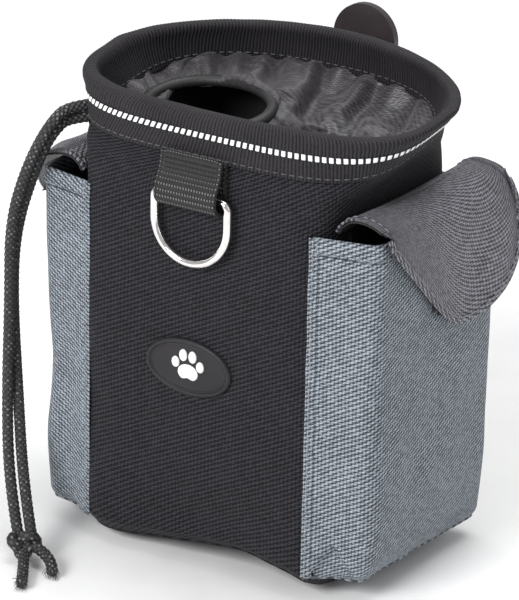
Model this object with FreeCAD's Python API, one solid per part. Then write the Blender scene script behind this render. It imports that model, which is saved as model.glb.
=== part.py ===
"""Belt-worn treat pouch: a soft box with a hooped oval mouth, two side pockets with
flaps, a drawstring collar, a D-ring on a webbing tab and a spring belt clip.

Frame: +X to the right when facing the front panel, -Y out of the front panel, +Z up,
origin in the middle of the base, on the surface that the pouch stands on.
Millimetres throughout.
"""
import FreeCAD
import Part
import math
import os

V = FreeCAD.Vector

# ---- overall sizes -------------------------------------------------------
body_half_width = 50.5      # side wall of the box, from the middle
body_front = 46.0           # front panel, in front of the middle
body_back = 40.0            # back panel, behind the middle
rim_height = 172.0          # top of the mouth, measured over the middle
rim_tilt = 0.15             # the mouth rises to the back by this slope
rim_half_width = 67.2       # the hooped mouth is a wide oval
rim_front = 34.7
rim_back = 40.7
rim_shift_x = 7.0           # the mouth leans a little to one side ...
rim_shift_y = -8.3          # ... and forward
shoulder_drop = 41.0        # the box is straight up to this far below the mouth ...
shoulder_blend = 14.0       # ... and over this height it starts to open
shoulder_flare = 2.0        # there the sides stand out by this much ...
shoulder_draw_front = 0.8   # ... and the front and back have come in by this much
shoulder_draw_back = 0.5
shoulder_tilt_share = 0.35  # of the mouth's tilt reached there
shoulder_shift_share = 0.1  # of the mouth's sideways shift reached there
neck_share = 0.55           # of the way from the box to the mouth, where the tape starts
foot_inset_side = 4.0       # the box is this much smaller on the ground ...
foot_inset_front = 9.0
foot_inset_back = 4.0
foot_roll_height = 3.2      # ... and here, partway up its rounded foot,
foot_roll_side = 1.2        # this much smaller
foot_roll_front = 3.5
mouth_squareness = (3.34, 1.85)     # superellipse powers, front and back
neck_squareness = (4.0, 2.5)
shoulder_squareness = (6.0, 5.0)
box_squareness = (8.0, 8.0)
foot_squareness = (7.0, 7.0)

# ---- cloth and tape ------------------------------------------------------
wall_thickness = 1.2
lining_thickness = 0.7
tape_thickness = 0.9
tape_height = 14.5
fold_height = 3.6           # folded tape above the cut edge of the wall
hoop_wire = 2.2
hoop_play = 0.15
stripe_drop = 5.6           # from the top of the mouth to the stripe
stripe_height = 1.9
stripe_thickness = 0.35
base_thickness = 1.5
clearance = 0.3             # between cloth pieces on different bodies
shoulder_height = rim_height - shoulder_drop
neck_height = rim_height - tape_height
neck_x = neck_share * rim_shift_x
neck_y = neck_share * rim_shift_y
neck_half_width = 0.5 * (body_half_width + rim_half_width)
neck_front = (1 - neck_share) * body_front + neck_share * rim_front
neck_back = (1 - neck_share) * body_back + neck_share * rim_back

# ---- pockets -------------------------------------------------------------
pocket_bottom = 8.0
pocket_top = 132.0
pocket_foot_taper = 1.6     # the foot is drawn in by this much ...
pocket_foot_rise = 30.0     # ... over this height
pocket_fold_radius = 5.0
pocket_depth = 18.1         # outer face, from the side wall
pocket_fold_x = body_half_width + pocket_depth
pocket_seam_side = 5.5      # the seams are this far in from the side wall ...
pocket_seam_front = 2.5     # ... and this far in from the front and back panels
pocket_root = 12.0          # the tool for the pocket reaches this far past the seams
pocket_fold_front = 38.7
pocket_fold_back = 40.3
pocket_cloth = 1.0
mouth_hem_height = 7.0
mouth_hem_thickness = 0.6

# ---- flaps ---------------------------------------------------------------
flap_cloth = 1.2
flap_lining = 0.5
flap_front = 38.5
flap_back = 40.0
flap_root_height = 134.0
flap_rise = 4.5             # the flap arches over the pocket by this much
flap_fold_rise = 1.5        # its fold, over the sewn line
flap_root_gap = 1.0         # from the side wall to the sewn line
flap_crest_set_in = 1.5     # the crest is nearer to the wall than to the fold
flap_lift = 34.0            # degrees that the root is shaped to turn without meeting the wall
fold_gap = 1.0              # cloth free to bend on each side of the fold
flap_drop = 44.0            # length of the hanging tongue
open_flap_lean = 42.0       # degrees that the left tongue stands off from upright
fastener_thickness = 0.7
fastener_width = 34.0
fastener_height = 18.0
fastener_above_tip = 7.0
fastener_set_back = 12.0    # behind the middle of the flap
tongue_shoulder = 3.0       # straight run below the fold
tongue_overrun = 2.0        # spare length of the strip that the tongue is cut from
# corners and bends of the tongue: in from its nearer edge, and down, as shares of the drop
tongue_front_end = (0.72, 0.75)
tongue_front_bend = (1.05, 0.975)
tongue_tip_end = (0.4, 1.0)
tongue_back_bend = (0.07, 0.84)
tongue_back_end = (-0.05, 0.5)

# ---- drawstring ----------------------------------------------------------
cord_diameter = 4.0
collar_cloth = 0.8
collar_dip = 3.2
collar_taper_spare = 0.2    # over what the wall narrows along the collar's thickness
collar_hole_half_width = 23.0
collar_hole_half_depth = 19.0
collar_hole_y = -5.0
collar_hole_margin = 5.0    # from the hem to the lining on the cord's side
hem_wall = 0.8
hem_gap = 0.02              # between the collar's edge and its hem
collar_gap = 0.05           # between the collar and the lining
eyelet_share = 0.6644       # of the way forward along the neck
eyelet_rise = 0.55          # over the tape's lower edge
eyelet_play = 0.15
eyelet_yaw = 217.0          # degrees, direction in which the cord leaves
eyelet_flange = 1.2         # width of the flange around the barrel
eyelet_metal = 0.8
eyelet_reach = 14.0         # half length of the tools that shape the eyelet
cord_way_reach = 34.0       # clear way for the cord from the eyelet to the hem
bend_share = 0.45           # of the shorter run at a corner taken by its arc
strand_gap = 0.3
knot_half_width = 6.6
knot_half_height = 5.4
knot_lift = 1.2             # the knot rests on its tails

# ---- D-ring and its tab --------------------------------------------------
webbing_width = 24.0
webbing_thickness = 1.5
tab_x = 0.8
ring_wire = 3.0
ring_half_width = 14.6
ring_side = 9.0
ring_corner = 2.4
ring_bar_height = 138.5
ring_play = 0.15

# ---- badge ---------------------------------------------------------------
badge_x = -1.0
badge_z = 76.0
badge_half_width = 17.3
badge_half_height = 10.2
badge_thickness = 1.8
badge_border = 1.6
badge_sink = 0.6            # back of the badge before it is trimmed to the panel
emblem_relief = 0.7
# paw emblem: x, z, half width and half height of each pad, from the badge's middle
paw_pad = (0.0, -1.7, 3.6, 2.7)
paw_toes = [
    (-5.1, 1.9, 1.25, 1.75),
    (-1.9, 3.9, 1.3, 1.9),
    (1.9, 3.9, 1.3, 1.9),
    (5.1, 1.9, 1.25, 1.75),
]

# ---- belt clip -----------------------------------------------------------
clip_x = 5.5
clip_width = 25.0
clip_bottom = 96.0
clip_plate_top = 160.0
clip_plate_thickness = 2.4
clip_lever_thickness = 2.8
clip_top = 182.0
clip_pin_height = 150.0
clip_pin_diameter = 3.0
clip_pin_play = 0.1
belt_gap = 6.0
ear_thickness = 2.6
ear_reach = 3.2
hook_height = 5.0
boss_width = 4.0
spring_wire = 0.8
spring_pitch = 1.2
spring_play = 0.15
spring_turns = 4
patch_width = 32.0
patch_thickness = 1.5
patch_below = 6.0           # past the plate's lower edge
patch_above = 2.0           # past its upper edge
patch_root = 6.0            # the patch and rivets are trimmed to the wall from this deep
rivet_diameter = 4.0
rivet_head = 7.0
rivet_head_height = 1.0
rivet_drop = 4.5            # from the plate's upper edge to the upper rivet

REACH = 400.0               # longer than the whole pouch, for cutting tools


# ---- helpers -------------------------------------------------------------
def superellipse_radius(angle, half_x, half_y, power):
    """Distance from the middle to a superellipse in the given direction."""
    cx = abs(math.cos(angle)) / half_x
    cy = abs(math.sin(angle)) / half_y
    return (cx ** power + cy ** power) ** (-1.0 / power)


def oval(z, tilt, x, y, half_x, front, back, power_front, power_back, count=32):
    """Closed smooth outline, rounder or squarer in front than behind."""
    points = []
    for i in range(count):
        angle = 2 * math.pi * i / count
        ahead = math.sin(angle) < 0
        half_y = front if ahead else back
        power = power_front if ahead else power_back
        r = superellipse_radius(angle, half_x, half_y, power)
        py = y + r * math.sin(angle)
        points.append(V(x + r * math.cos(angle), py, z + tilt * py))
    curve = Part.BSplineCurve()
    knots = [float(k) for k in range(count + 1)]
    curve.interpolate(Points=points, PeriodicFlag=True, Parameters=knots)
    edges = []
    quarter = count // 4
    for k in range(0, count, quarter):
        edge = curve.copy()
        edge.segment(knots[k], knots[k + quarter])
        edges.append(edge.toShape())
    return Part.Wire(edges)


def neck_oval(offset):
    """Outline at the lower edge of the folded tape."""
    return oval(neck_height, rim_tilt, neck_x, neck_y, neck_half_width + offset,
                neck_front + offset, neck_back + offset, *neck_squareness)


def rim_oval(offset):
    """Outline of the mouth."""
    return oval(rim_height, rim_tilt, rim_shift_x, rim_shift_y, rim_half_width + offset,
                rim_front + offset, rim_back + offset, *mouth_squareness)


def skin(offset):
    """The whole pouch as one closed solid, its surface moved out by offset."""
    sections = [
        (0.0, 0.0, 0.0, body_half_width - foot_inset_side, body_front - foot_inset_front,
         body_back - foot_inset_back, foot_squareness),
        (foot_roll_height, 0.0, 0.0, body_half_width - foot_roll_side,
         body_front - foot_roll_front, body_back - foot_roll_side, box_squareness),
        (pocket_bottom, 0.0, 0.0, body_half_width, body_front, body_back, box_squareness),
        (shoulder_height, 0.0, 0.0, body_half_width, body_front, body_back, box_squareness),
        (shoulder_height + shoulder_blend, shoulder_tilt_share * rim_tilt,
         shoulder_shift_share, body_half_width + shoulder_flare,
         body_front - shoulder_draw_front, body_back - shoulder_draw_back,
         shoulder_squareness),
    ]
    wires = []
    for level, tilt, shift, half_x, front, back, powers in sections:
        wires.append(oval(level, tilt, shift * rim_shift_x, shift * rim_shift_y,
                          half_x + offset, front + offset, back + offset, *powers))
    wires += [neck_oval(offset), rim_oval(offset)]
    return Part.makeLoft(wires, True, True)


def block(x0, x1, y0, y1, z0, z1):
    return Part.makeBox(x1 - x0, y1 - y0, z1 - z0, V(x0, y0, z0))


def above(level, tilt=0.0):
    """Everything over the plane z = level + tilt * y."""
    half = block(-REACH, REACH, -REACH, REACH, 0.0, REACH)
    half.rotate(V(0, 0, 0), V(1, 0, 0), math.degrees(math.atan(tilt)))
    half.translate(V(0, 0, level))
    return half


def band(shape, low, high):
    """The part of a shape between two levels that follow the tilted mouth."""
    return shape.cut(above(high, rim_tilt)).common(above(low, rim_tilt))


def rod(start, end, radius):
    direction = end - start
    return Part.makeCylinder(radius, direction.Length, start, direction)


def largest(shape):
    """The main solid of a shape, without crumbs left by a cut."""
    return max(shape.Solids, key=lambda s: s.Volume)


def polygon_prism(points, direction):
    wire = Part.makePolygon(points + [points[0]])
    return Part.Face(wire).extrude(direction)


def mirrored(shape):
    return shape.mirror(V(0, 0, 0), V(1, 0, 0))


def pipe(path, radius):
    """A round tube along a wire."""
    edge = path.Edges[0]
    start = edge.valueAt(edge.FirstParameter)
    tangent = edge.tangentAt(edge.FirstParameter)
    profile = Part.Wire(Part.makeCircle(radius, start, tangent))
    return path.makePipeShell([profile], True, True)


def ring_solid(outlines):
    """Ring whose section has one corner on each closed outline, in order."""
    faces = []
    for first, second in zip(outlines, outlines[1:] + outlines[:1]):
        faces += Part.makeLoft([first, second], False, True).Faces
    return Part.Solid(Part.Shell(faces))


def cord_path(points):
    """Straight runs joined by tangent arcs; prints the radius of each arc."""
    edges = []
    radii = []
    here = points[0]
    for before, corner, after in zip(points, points[1:], points[2:]):
        back = before - corner
        ahead = after - corner
        turn = math.pi - back.getAngle(ahead)
        tangent = bend_share * min(back.Length, ahead.Length)
        radius = tangent / math.tan(turn / 2)
        back.normalize()
        ahead.normalize()
        first = corner + back * tangent
        last = corner + ahead * tangent
        middle_way = back + ahead
        middle_way.normalize()
        centre_distance = radius / math.cos(turn / 2)
        middle = corner + middle_way * (centre_distance - radius)
        edges.append(Part.LineSegment(here, first).toShape())
        edges.append(Part.Arc(first, middle, last).toShape())
        here = last
        radii.append(round(radius, 1))
    edges.append(Part.LineSegment(here, points[-1]).toShape())
    return Part.Wire(edges), radii


parts = {}

# ---- the box: panels, lining and base ------------------------------------
outer = skin(0.0)
inside_wall = skin(-wall_thickness)
inside_lining = skin(-wall_thickness - lining_thickness)
tape_outer = skin(tape_thickness)
tape_inner = skin(-wall_thickness - lining_thickness - tape_thickness)
cloth_top = rim_height - fold_height
side_seam_y = 0.0

eyelet_x = neck_x - neck_half_width
eyelet_y = neck_y - eyelet_share * neck_front
eyelet_z = neck_height + rim_tilt * eyelet_y + eyelet_rise
eyelet_centre = V(eyelet_x, eyelet_y, eyelet_z)
eyelet_axis = V(math.cos(math.radians(eyelet_yaw)), math.sin(math.radians(eyelet_yaw)), 0.0)
barrel_bore = cord_diameter + strand_gap / 2 + eyelet_play
barrel_radius = barrel_bore + eyelet_metal
eyelet_start = eyelet_centre - eyelet_axis * eyelet_reach
eyelet_end = eyelet_centre + eyelet_axis * eyelet_reach
barrel_hole = rod(eyelet_start, eyelet_end, barrel_radius)

wall = outer.cut(inside_wall).cut(above(cloth_top, rim_tilt))
wall = wall.common(above(base_thickness)).cut(barrel_hole)
front_half = block(-REACH, REACH, -REACH, side_seam_y, 0, REACH)
back_half = block(-REACH, REACH, side_seam_y, REACH, 0, REACH)
parts["front_panel"] = largest(wall.common(front_half))
parts["back_panel"] = largest(wall.common(back_half))
parts["base_panel"] = largest(outer.cut(above(base_thickness)))

lining = inside_wall.cut(inside_lining).cut(above(cloth_top, rim_tilt))
lining_floor_top = base_thickness + lining_thickness
parts["lining_wall"] = largest(lining.common(above(lining_floor_top)).cut(barrel_hole))
lining_base = inside_wall.common(above(base_thickness)).cut(above(lining_floor_top))
parts["lining_base"] = largest(lining_base)


# ---- the mouth: hoop, folded tape, reflective stripe ---------------------
stack_middle = (wall_thickness + lining_thickness) / 2


def rim_band(half, low, high):
    """Square-edged ring in the middle of the wall's thickness."""
    ring = skin(half - stack_middle).cut(skin(-half - stack_middle))
    return band(ring, cloth_top + low, cloth_top + high)


hoop_high = hoop_wire + hoop_play
parts["rim_hoop"] = largest(rim_band(hoop_wire / 2, hoop_play, hoop_high))
channel = rim_band(hoop_wire / 2 + hoop_play, 0.0, hoop_high + hoop_play)
tape = band(tape_outer.cut(tape_inner), neck_height, rim_height)
wrapped = outer.cut(inside_lining).cut(above(cloth_top, rim_tilt))
tape = tape.cut(wrapped).cut(channel).cut(barrel_hole)
parts["rim_tape"] = largest(tape)
stripe_top = rim_height - stripe_drop
stripe = skin(tape_thickness + stripe_thickness).cut(tape_outer)
parts["reflective_stripe"] = largest(band(stripe, stripe_top - stripe_height, stripe_top))


# ---- cord eyelet ---------------------------------------------------------
flange_radius = barrel_radius + eyelet_flange
flange_rod = rod(eyelet_start, eyelet_end, flange_radius)
eyelet_inside = skin(-wall_thickness - lining_thickness - tape_thickness - eyelet_metal)
outer_flange = flange_rod.common(skin(tape_thickness + eyelet_metal)).cut(tape_outer)
inner_flange = flange_rod.common(tape_inner)
inner_flange = inner_flange.cut(eyelet_inside)
barrel = barrel_hole.common(skin(tape_thickness + eyelet_metal))
barrel = barrel.cut(eyelet_inside)
bore = rod(eyelet_start, eyelet_end, barrel_bore)
eyelet = outer_flange.fuse([inner_flange, barrel]).cut(bore)
parts["cord_eyelet"] = largest(eyelet)


# ---- drawstring collar, its hem and the cord ------------------------------
hole_level = neck_height - collar_dip
hem_radius = cord_diameter / 2 + hem_wall
neck_left = neck_x - neck_half_width + wall_thickness + lining_thickness
collar_hole_x = neck_left + collar_hole_margin + hem_radius + collar_hole_half_width


def hole_oval(level, grow=0.0):
    """Outline of the collar's opening."""
    return oval(level, rim_tilt, collar_hole_x, collar_hole_y, collar_hole_half_width + grow,
                collar_hole_half_depth + grow, collar_hole_half_depth + grow, 2, 2)


flare_rise = neck_height - shoulder_height - shoulder_blend
wall_flare = (neck_half_width - body_half_width - shoulder_flare) / flare_rise
collar_taper = collar_cloth * wall_flare + collar_taper_spare
collar_edge = -wall_thickness - lining_thickness - collar_gap
collar_outlines = [
    neck_oval(collar_edge),
    hole_oval(hole_level + collar_cloth, hem_radius + hem_gap),
    hole_oval(hole_level, hem_radius + hem_gap),
    neck_oval(collar_edge - collar_taper),
]
collar_outlines[-1].translate(V(0, 0, -collar_cloth))
hem_path = hole_oval(hole_level + collar_cloth / 2)
hem_solid = pipe(hem_path, hem_radius)
hem_cord = pipe(hem_path, cord_diameter / 2)
cord_way = rod(eyelet_centre - eyelet_axis * cord_way_reach, eyelet_centre,
               flange_radius + clearance)
collar = ring_solid(collar_outlines).cut(cord_way)
parts["drawstring_collar"] = largest(collar)

# both ends of the cord leave the hem, pass the eyelet and hang to one knot
strand_rise = (cord_diameter + strand_gap) / 2
strand_points = {
    "a": [
        V(-40.2, -19.85, eyelet_z + strand_rise),
        V(-59.0, -34.0, eyelet_z + strand_rise),
        V(-60.5, -45.5, 150.0),
        V(-68.0, -48.5, 133.5),
        V(-75.0, -48.5, 112.0),
        V(-75.3, -48.5, 84.0),
        V(-74.6, -51.5, 49.0),
        V(-66.0, -62.0, 22.0),
        V(-55.0, -71.5, 9.0),
    ],
    "b": [
        V(-40.2, -19.85, eyelet_z - strand_rise),
        V(-59.0, -34.0, eyelet_z - strand_rise),
        V(-62.0, -41.8, 146.0),
        V(-67.5, -44.3, 132.5),
        V(-76.0, -44.3, 108.0),
        V(-77.4, -44.2, 82.0),
        V(-72.9, -47.3, 49.0),
        V(-61.0, -60.5, 23.0),
        V(-50.0, -70.5, 10.0),
    ],
}
tail_points = {
    "a": [V(-48.0, -77.5, 5.2), V(-43.0, -84.0, 2.6), V(-38.0, -92.0, 2.3)],
    "b": [V(-46.0, -74.0, 7.0), V(-38.5, -73.5, 5.0), V(-35.0, -78.5, 2.3)],
}
knot_centre = V(-50.5, -74.0, knot_half_height + knot_lift)
knot = Part.makeSphere(1.0)
stretch = FreeCAD.Matrix()
stretch.scale(V(knot_half_width, knot_half_width, knot_half_height))
knot = knot.transformGeometry(stretch)
knot.translate(knot_centre)
for name, points in strand_points.items():
    path, radii = cord_path(points)
    strand = pipe(path, cord_diameter / 2)
    parts["drawcord_strand_" + name] = largest(strand.cut(hem_solid).cut(knot))
    print("strand", name, "length", round(path.Length, 1), "arc radii", radii)
for name, points in tail_points.items():
    path, radii = cord_path(points)
    parts["drawcord_tail_" + name] = largest(pipe(path, cord_diameter / 2).cut(knot))
    print("tail", name, "length", round(path.Length, 1), "arc radii", radii)
parts["drawcord_knot"] = knot
parts["drawcord_hem_loop"] = hem_cord
parts["collar_hem"] = largest(hem_solid.cut(hem_cord))


# ---- D-ring on its webbing tab -------------------------------------------
bar_radius = ring_wire / 2
tab_layers = 2 * webbing_thickness
bar_y = -body_front - webbing_thickness - ring_play - bar_radius
loop_radius = bar_radius + ring_play + webbing_thickness
tab_left = tab_x - webbing_width / 2
bar_centre = V(tab_x, bar_y, ring_bar_height)
bar_start = V(tab_left, bar_y, ring_bar_height)
bar_end = V(tab_left + webbing_width, bar_y, ring_bar_height)
tab = block(tab_left, tab_left + webbing_width, -body_front - tab_layers, -body_front / 2,
            ring_bar_height, neck_height)
tab = tab.cut(outer).fuse(rod(bar_start, bar_end, loop_radius)).cut(outer)
tab = tab.cut(rod(bar_start, bar_end, bar_radius + ring_play))
tab = tab.cut(above(neck_height, rim_tilt))
parts["d_ring_tab"] = largest(tab)

flat_half = ring_half_width - ring_corner
drop = V(0, 0, -1)
left_side = bar_centre + V(-ring_half_width, 0, 0)
right_side = bar_centre + V(ring_half_width, 0, 0)
corner_bend = ring_corner * (1 - math.sqrt(0.5))
ring_edges = [
    Part.LineSegment(bar_centre - V(flat_half, 0, 0), bar_centre + V(flat_half, 0, 0)).toShape(),
    Part.Arc(bar_centre + V(flat_half, 0, 0),
             right_side + V(-corner_bend, 0, -corner_bend),
             right_side + drop * ring_corner).toShape(),
    Part.LineSegment(right_side + drop * ring_corner, right_side + drop * ring_side).toShape(),
    Part.Arc(right_side + drop * ring_side,
             bar_centre + drop * (ring_side + ring_half_width),
             left_side + drop * ring_side).toShape(),
    Part.LineSegment(left_side + drop * ring_side, left_side + drop * ring_corner).toShape(),
    Part.Arc(left_side + drop * ring_corner,
             left_side + V(corner_bend, 0, -corner_bend),
             bar_centre - V(flat_half, 0, 0)).toShape(),
]
parts["d_ring"] = pipe(Part.Wire(ring_edges), bar_radius)


# ---- badge ---------------------------------------------------------------
def oval_plate(x, z, half_x, half_z, back_y, thickness):
    """Upright oval plate standing forward of the plane y = back_y."""
    ellipse = Part.Ellipse(V(0, 0, 0), max(half_x, half_z), min(half_x, half_z)).toShape()
    plate = Part.Face(Part.Wire(ellipse)).extrude(V(0, 0, thickness))
    if half_z > half_x:
        plate.rotate(V(0, 0, 0), V(0, 0, 1), 90)
    plate.rotate(V(0, 0, 0), V(1, 0, 0), 90)
    plate.translate(V(x, back_y, z))
    return plate


badge_back = -body_front + badge_sink
badge_face = -body_front - badge_thickness
badge = oval_plate(badge_x, badge_z, badge_half_width, badge_half_height, badge_back,
                   badge_back - badge_face)
recess = oval_plate(badge_x, badge_z, badge_half_width - badge_border,
                    badge_half_height - badge_border, badge_face + emblem_relief, emblem_relief)
parts["badge"] = badge.cut(recess).cut(outer)
emblem_floor = badge_face + emblem_relief
pads = []
for pad_x, pad_z, pad_half_x, pad_half_z in [paw_pad] + paw_toes:
    pads.append(oval_plate(badge_x + pad_x, badge_z + pad_z, pad_half_x, pad_half_z,
                           emblem_floor, emblem_relief))
parts["badge_emblem"] = Part.Compound(pads)


# ---- side pockets, built on the right and mirrored ------------------------
seam_front = body_front - pocket_seam_front
seam_back = body_back - pocket_seam_front
seam_x = body_half_width - pocket_seam_side


def pocket_outline(level, narrowing, inset):
    """Plan outline of a pocket at one level, closed inside the body."""
    fold_x = pocket_fold_x - narrowing - inset
    points = [
        V(seam_x - pocket_root, -seam_front + inset, level),
        V(seam_x, -seam_front + inset, level),
        V(fold_x, -pocket_fold_front + inset + narrowing / 2, level),
        V(fold_x, pocket_fold_back - inset, level),
        V(seam_x - pocket_root, seam_back - inset, level),
    ]
    return Part.makePolygon(points + [points[0]])


def pocket_block(inset):
    """The whole pocket as a closed block, drawn in a little towards its foot."""
    wires = [
        pocket_outline(pocket_bottom, pocket_foot_taper, inset),
        pocket_outline(pocket_bottom + pocket_foot_rise, 0, inset),
        pocket_outline(pocket_top, 0, inset),
    ]
    solid = Part.makeLoft(wires, True, True)
    folds = []
    for edge in solid.Edges:
        ends = [v.Point for v in edge.Vertexes]
        upright = abs(ends[0].z - ends[1].z) > pocket_foot_rise / 2
        if upright and min(ends[0].x, ends[1].x) > body_half_width + pocket_depth / 2:
            folds.append(edge)
    return solid.makeFillet(pocket_fold_radius - inset, folds)


pocket_outer = pocket_block(0.0)
pocket_inner = pocket_block(pocket_cloth)
hem_inner = pocket_block(pocket_cloth + mouth_hem_thickness)
pocket_floor = pocket_bottom + pocket_cloth
pocket = pocket_outer.cut(pocket_inner).cut(outer)
pocket_panel = largest(pocket.common(above(pocket_floor)))
pocket_base = largest(pocket_outer.cut(above(pocket_floor)).cut(outer))
mouth_hem = pocket_inner.cut(hem_inner).cut(outer).common(above(pocket_top - mouth_hem_height))
mouth_hem = largest(mouth_hem)

fastener_y = 0.5 * (flap_back - flap_front) + fastener_set_back
flap_tip = flap_root_height + flap_fold_rise - flap_drop
fastener_top = flap_tip + fastener_above_tip + fastener_height
loop_tape = block(pocket_fold_x, pocket_fold_x + fastener_thickness,
                  fastener_y - fastener_width / 2, fastener_y + fastener_width / 2,
                  fastener_top - fastener_height, fastener_top)
for side in ("left", "right"):
    shape_for = mirrored if side == "left" else Part.Shape.copy
    parts[side + "_pocket_panel"] = shape_for(pocket_panel)
    parts[side + "_pocket_base"] = shape_for(pocket_base)
    parts[side + "_pocket_mouth_hem"] = shape_for(mouth_hem)
    parts[side + "_pocket_loop_tape"] = shape_for(loop_tape)


# ---- flaps ---------------------------------------------------------------
def ribbon(points, low, high):
    """Strip between two offsets of a path in the XZ plane, spread along Y."""
    rows = []
    for offset in (low, high):
        row = []
        for i, point in enumerate(points):
            ways = []
            if i > 0:
                ways.append((point - points[i - 1]).normalize())
            if i < len(points) - 1:
                ways.append((points[i + 1] - point).normalize())
            normals = [V(-w.z, 0, w.x) for w in ways]
            mean = sum(normals[1:], normals[0]).normalize()
            row.append(point + mean * (offset / mean.dot(normals[0])))
        rows.append(row)
    outline = rows[0] + rows[1][::-1]
    strip = polygon_prism(outline, V(0, flap_front + flap_back, 0))
    strip.translate(V(0, -flap_front, 0))
    return strip


def tongue_blank():
    """Outline of the hanging tongue, upright at x = 0, its fold on z = 0."""
    def from_front(shares):
        return V(0, -flap_front + shares[0] * flap_drop, -shares[1] * flap_drop)

    def from_back(shares):
        return V(0, flap_back - shares[0] * flap_drop, -shares[1] * flap_drop)

    corner = [
        V(0, -flap_front, tongue_overrun),
        V(0, -flap_front, -tongue_shoulder),
        from_front(tongue_front_end),
        from_front(tongue_front_bend),
        from_back(tongue_tip_end),
        from_back(tongue_back_bend),
        from_back(tongue_back_end),
        V(0, flap_back, -tongue_shoulder),
        V(0, flap_back, tongue_overrun),
    ]
    edges = [
        Part.LineSegment(corner[0], corner[1]).toShape(),
        Part.LineSegment(corner[1], corner[2]).toShape(),
        Part.Arc(corner[2], corner[3], corner[4]).toShape(),
        Part.Arc(corner[4], corner[5], corner[6]).toShape(),
        Part.LineSegment(corner[6], corner[7]).toShape(),
        Part.LineSegment(corner[7], corner[8]).toShape(),
        Part.LineSegment(corner[8], corner[0]).toShape(),
    ]
    blank = Part.Face(Part.Wire(edges)).extrude(V(2 * pocket_depth, 0, 0))
    blank.translate(V(-pocket_depth, 0, 0))
    return blank


keeper = skin(clearance)
tongue_face = pocket_fold_x + 2 * fastener_thickness + clearance + flap_lining
root_start = V(body_half_width + flap_root_gap, 0, flap_root_height)
root_crest = V(0.5 * (body_half_width + tongue_face) - flap_crest_set_in, 0,
               flap_root_height + flap_rise)
fold_point = V(tongue_face, 0, flap_root_height + flap_fold_rise)
fold_axis = fold_point + V((flap_cloth - flap_lining) / 2, 0, 0)
into_fold = (fold_point - root_crest).normalize()
root_end = fold_point - into_fold * fold_gap
tongue_top = fold_point - V(0, 0, fold_gap)
tongue_tip = fold_point - V(0, 0, flap_drop + tongue_overrun)
blank = tongue_blank()
blank.translate(fold_point)

top_path = [root_start, root_crest, root_end]
tongue_path = [tongue_top, tongue_tip]
lifted_keeper = keeper.copy()
lifted_keeper.rotate(root_start, V(0, 1, 0), flap_lift)
flap_top = ribbon(top_path, 0, flap_cloth).cut(keeper).cut(lifted_keeper)
flap_top_lining = ribbon(top_path, -flap_lining, 0).cut(keeper).cut(lifted_keeper)
tongue = ribbon(tongue_path, 0, flap_cloth).common(blank)
tongue_lining = ribbon(tongue_path, -flap_lining, 0).common(blank)
hook_tape = loop_tape.copy()
hook_tape.translate(V(fastener_thickness + clearance, 0, 0))
for side in ("left", "right"):
    shape_for = mirrored if side == "left" else Part.Shape.copy
    lean = open_flap_lean if side == "left" else 0.0
    parts[side + "_flap_top"] = largest(shape_for(flap_top))
    parts[side + "_flap_top_lining"] = largest(shape_for(flap_top_lining))
    hanging = {
        "_flap_tongue": tongue,
        "_flap_tongue_lining": tongue_lining,
        "_flap_hook_tape": hook_tape,
    }
    for name, shape in hanging.items():
        turned = shape.copy()
        turned.rotate(fold_axis, V(0, 1, 0), -lean)
        parts[side + name] = largest(shape_for(turned))


# ---- belt clip -----------------------------------------------------------
clip_left = clip_x - clip_width / 2
clip_right = clip_x + clip_width / 2
patch_back = body_back + patch_thickness
plate_back = patch_back + clip_plate_thickness
lever_front = plate_back + belt_gap
lever_back = lever_front + clip_lever_thickness
pin_y = plate_back + belt_gap / 2
pin_radius = clip_pin_diameter / 2
boss_radius = belt_gap / 2 - clearance

patch = block(clip_x - patch_width / 2, clip_x + patch_width / 2, body_back - patch_root,
              patch_back, clip_bottom - patch_below, clip_plate_top + patch_above)
patch = patch.cut(outer)
parts["clip_patch"] = largest(patch)

plate = block(clip_left, clip_right, patch_back, plate_back, clip_bottom, clip_plate_top)
ears = []
ear_faces = (clip_left, clip_right - ear_thickness)
for ear_x in ear_faces:
    ear = block(ear_x, ear_x + ear_thickness, plate_back, pin_y,
                clip_pin_height - ear_reach, clip_pin_height + ear_reach)
    round_end = rod(V(ear_x, pin_y, clip_pin_height),
                    V(ear_x + ear_thickness, pin_y, clip_pin_height), ear_reach)
    ears.append(ear.fuse(round_end))
pin_start = V(clip_left, pin_y, clip_pin_height)
pin_end = V(clip_right, pin_y, clip_pin_height)
pin = rod(pin_start, pin_end, pin_radius)
rivets = []
lower_rivet = clip_bottom + hook_height + clearance + rivet_head / 2
for level in (lower_rivet, clip_plate_top - rivet_drop):
    head_start = V(clip_x, plate_back, level)
    shank = rod(V(clip_x, body_back - patch_root, level), head_start, rivet_diameter / 2)
    head = rod(head_start, head_start + V(0, rivet_head_height, 0), rivet_head / 2)
    rivets.append(largest(shank.fuse(head).cut(outer)))
parts["clip_rivets"] = Part.Compound(rivets)
plate = plate.fuse(ears).cut(pin)
for rivet in rivets:
    plate = plate.cut(rivet)
    parts["clip_patch"] = parts["clip_patch"].cut(rivet)
parts["clip_base"] = largest(plate.removeSplitter())
parts["clip_pin"] = pin

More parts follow.
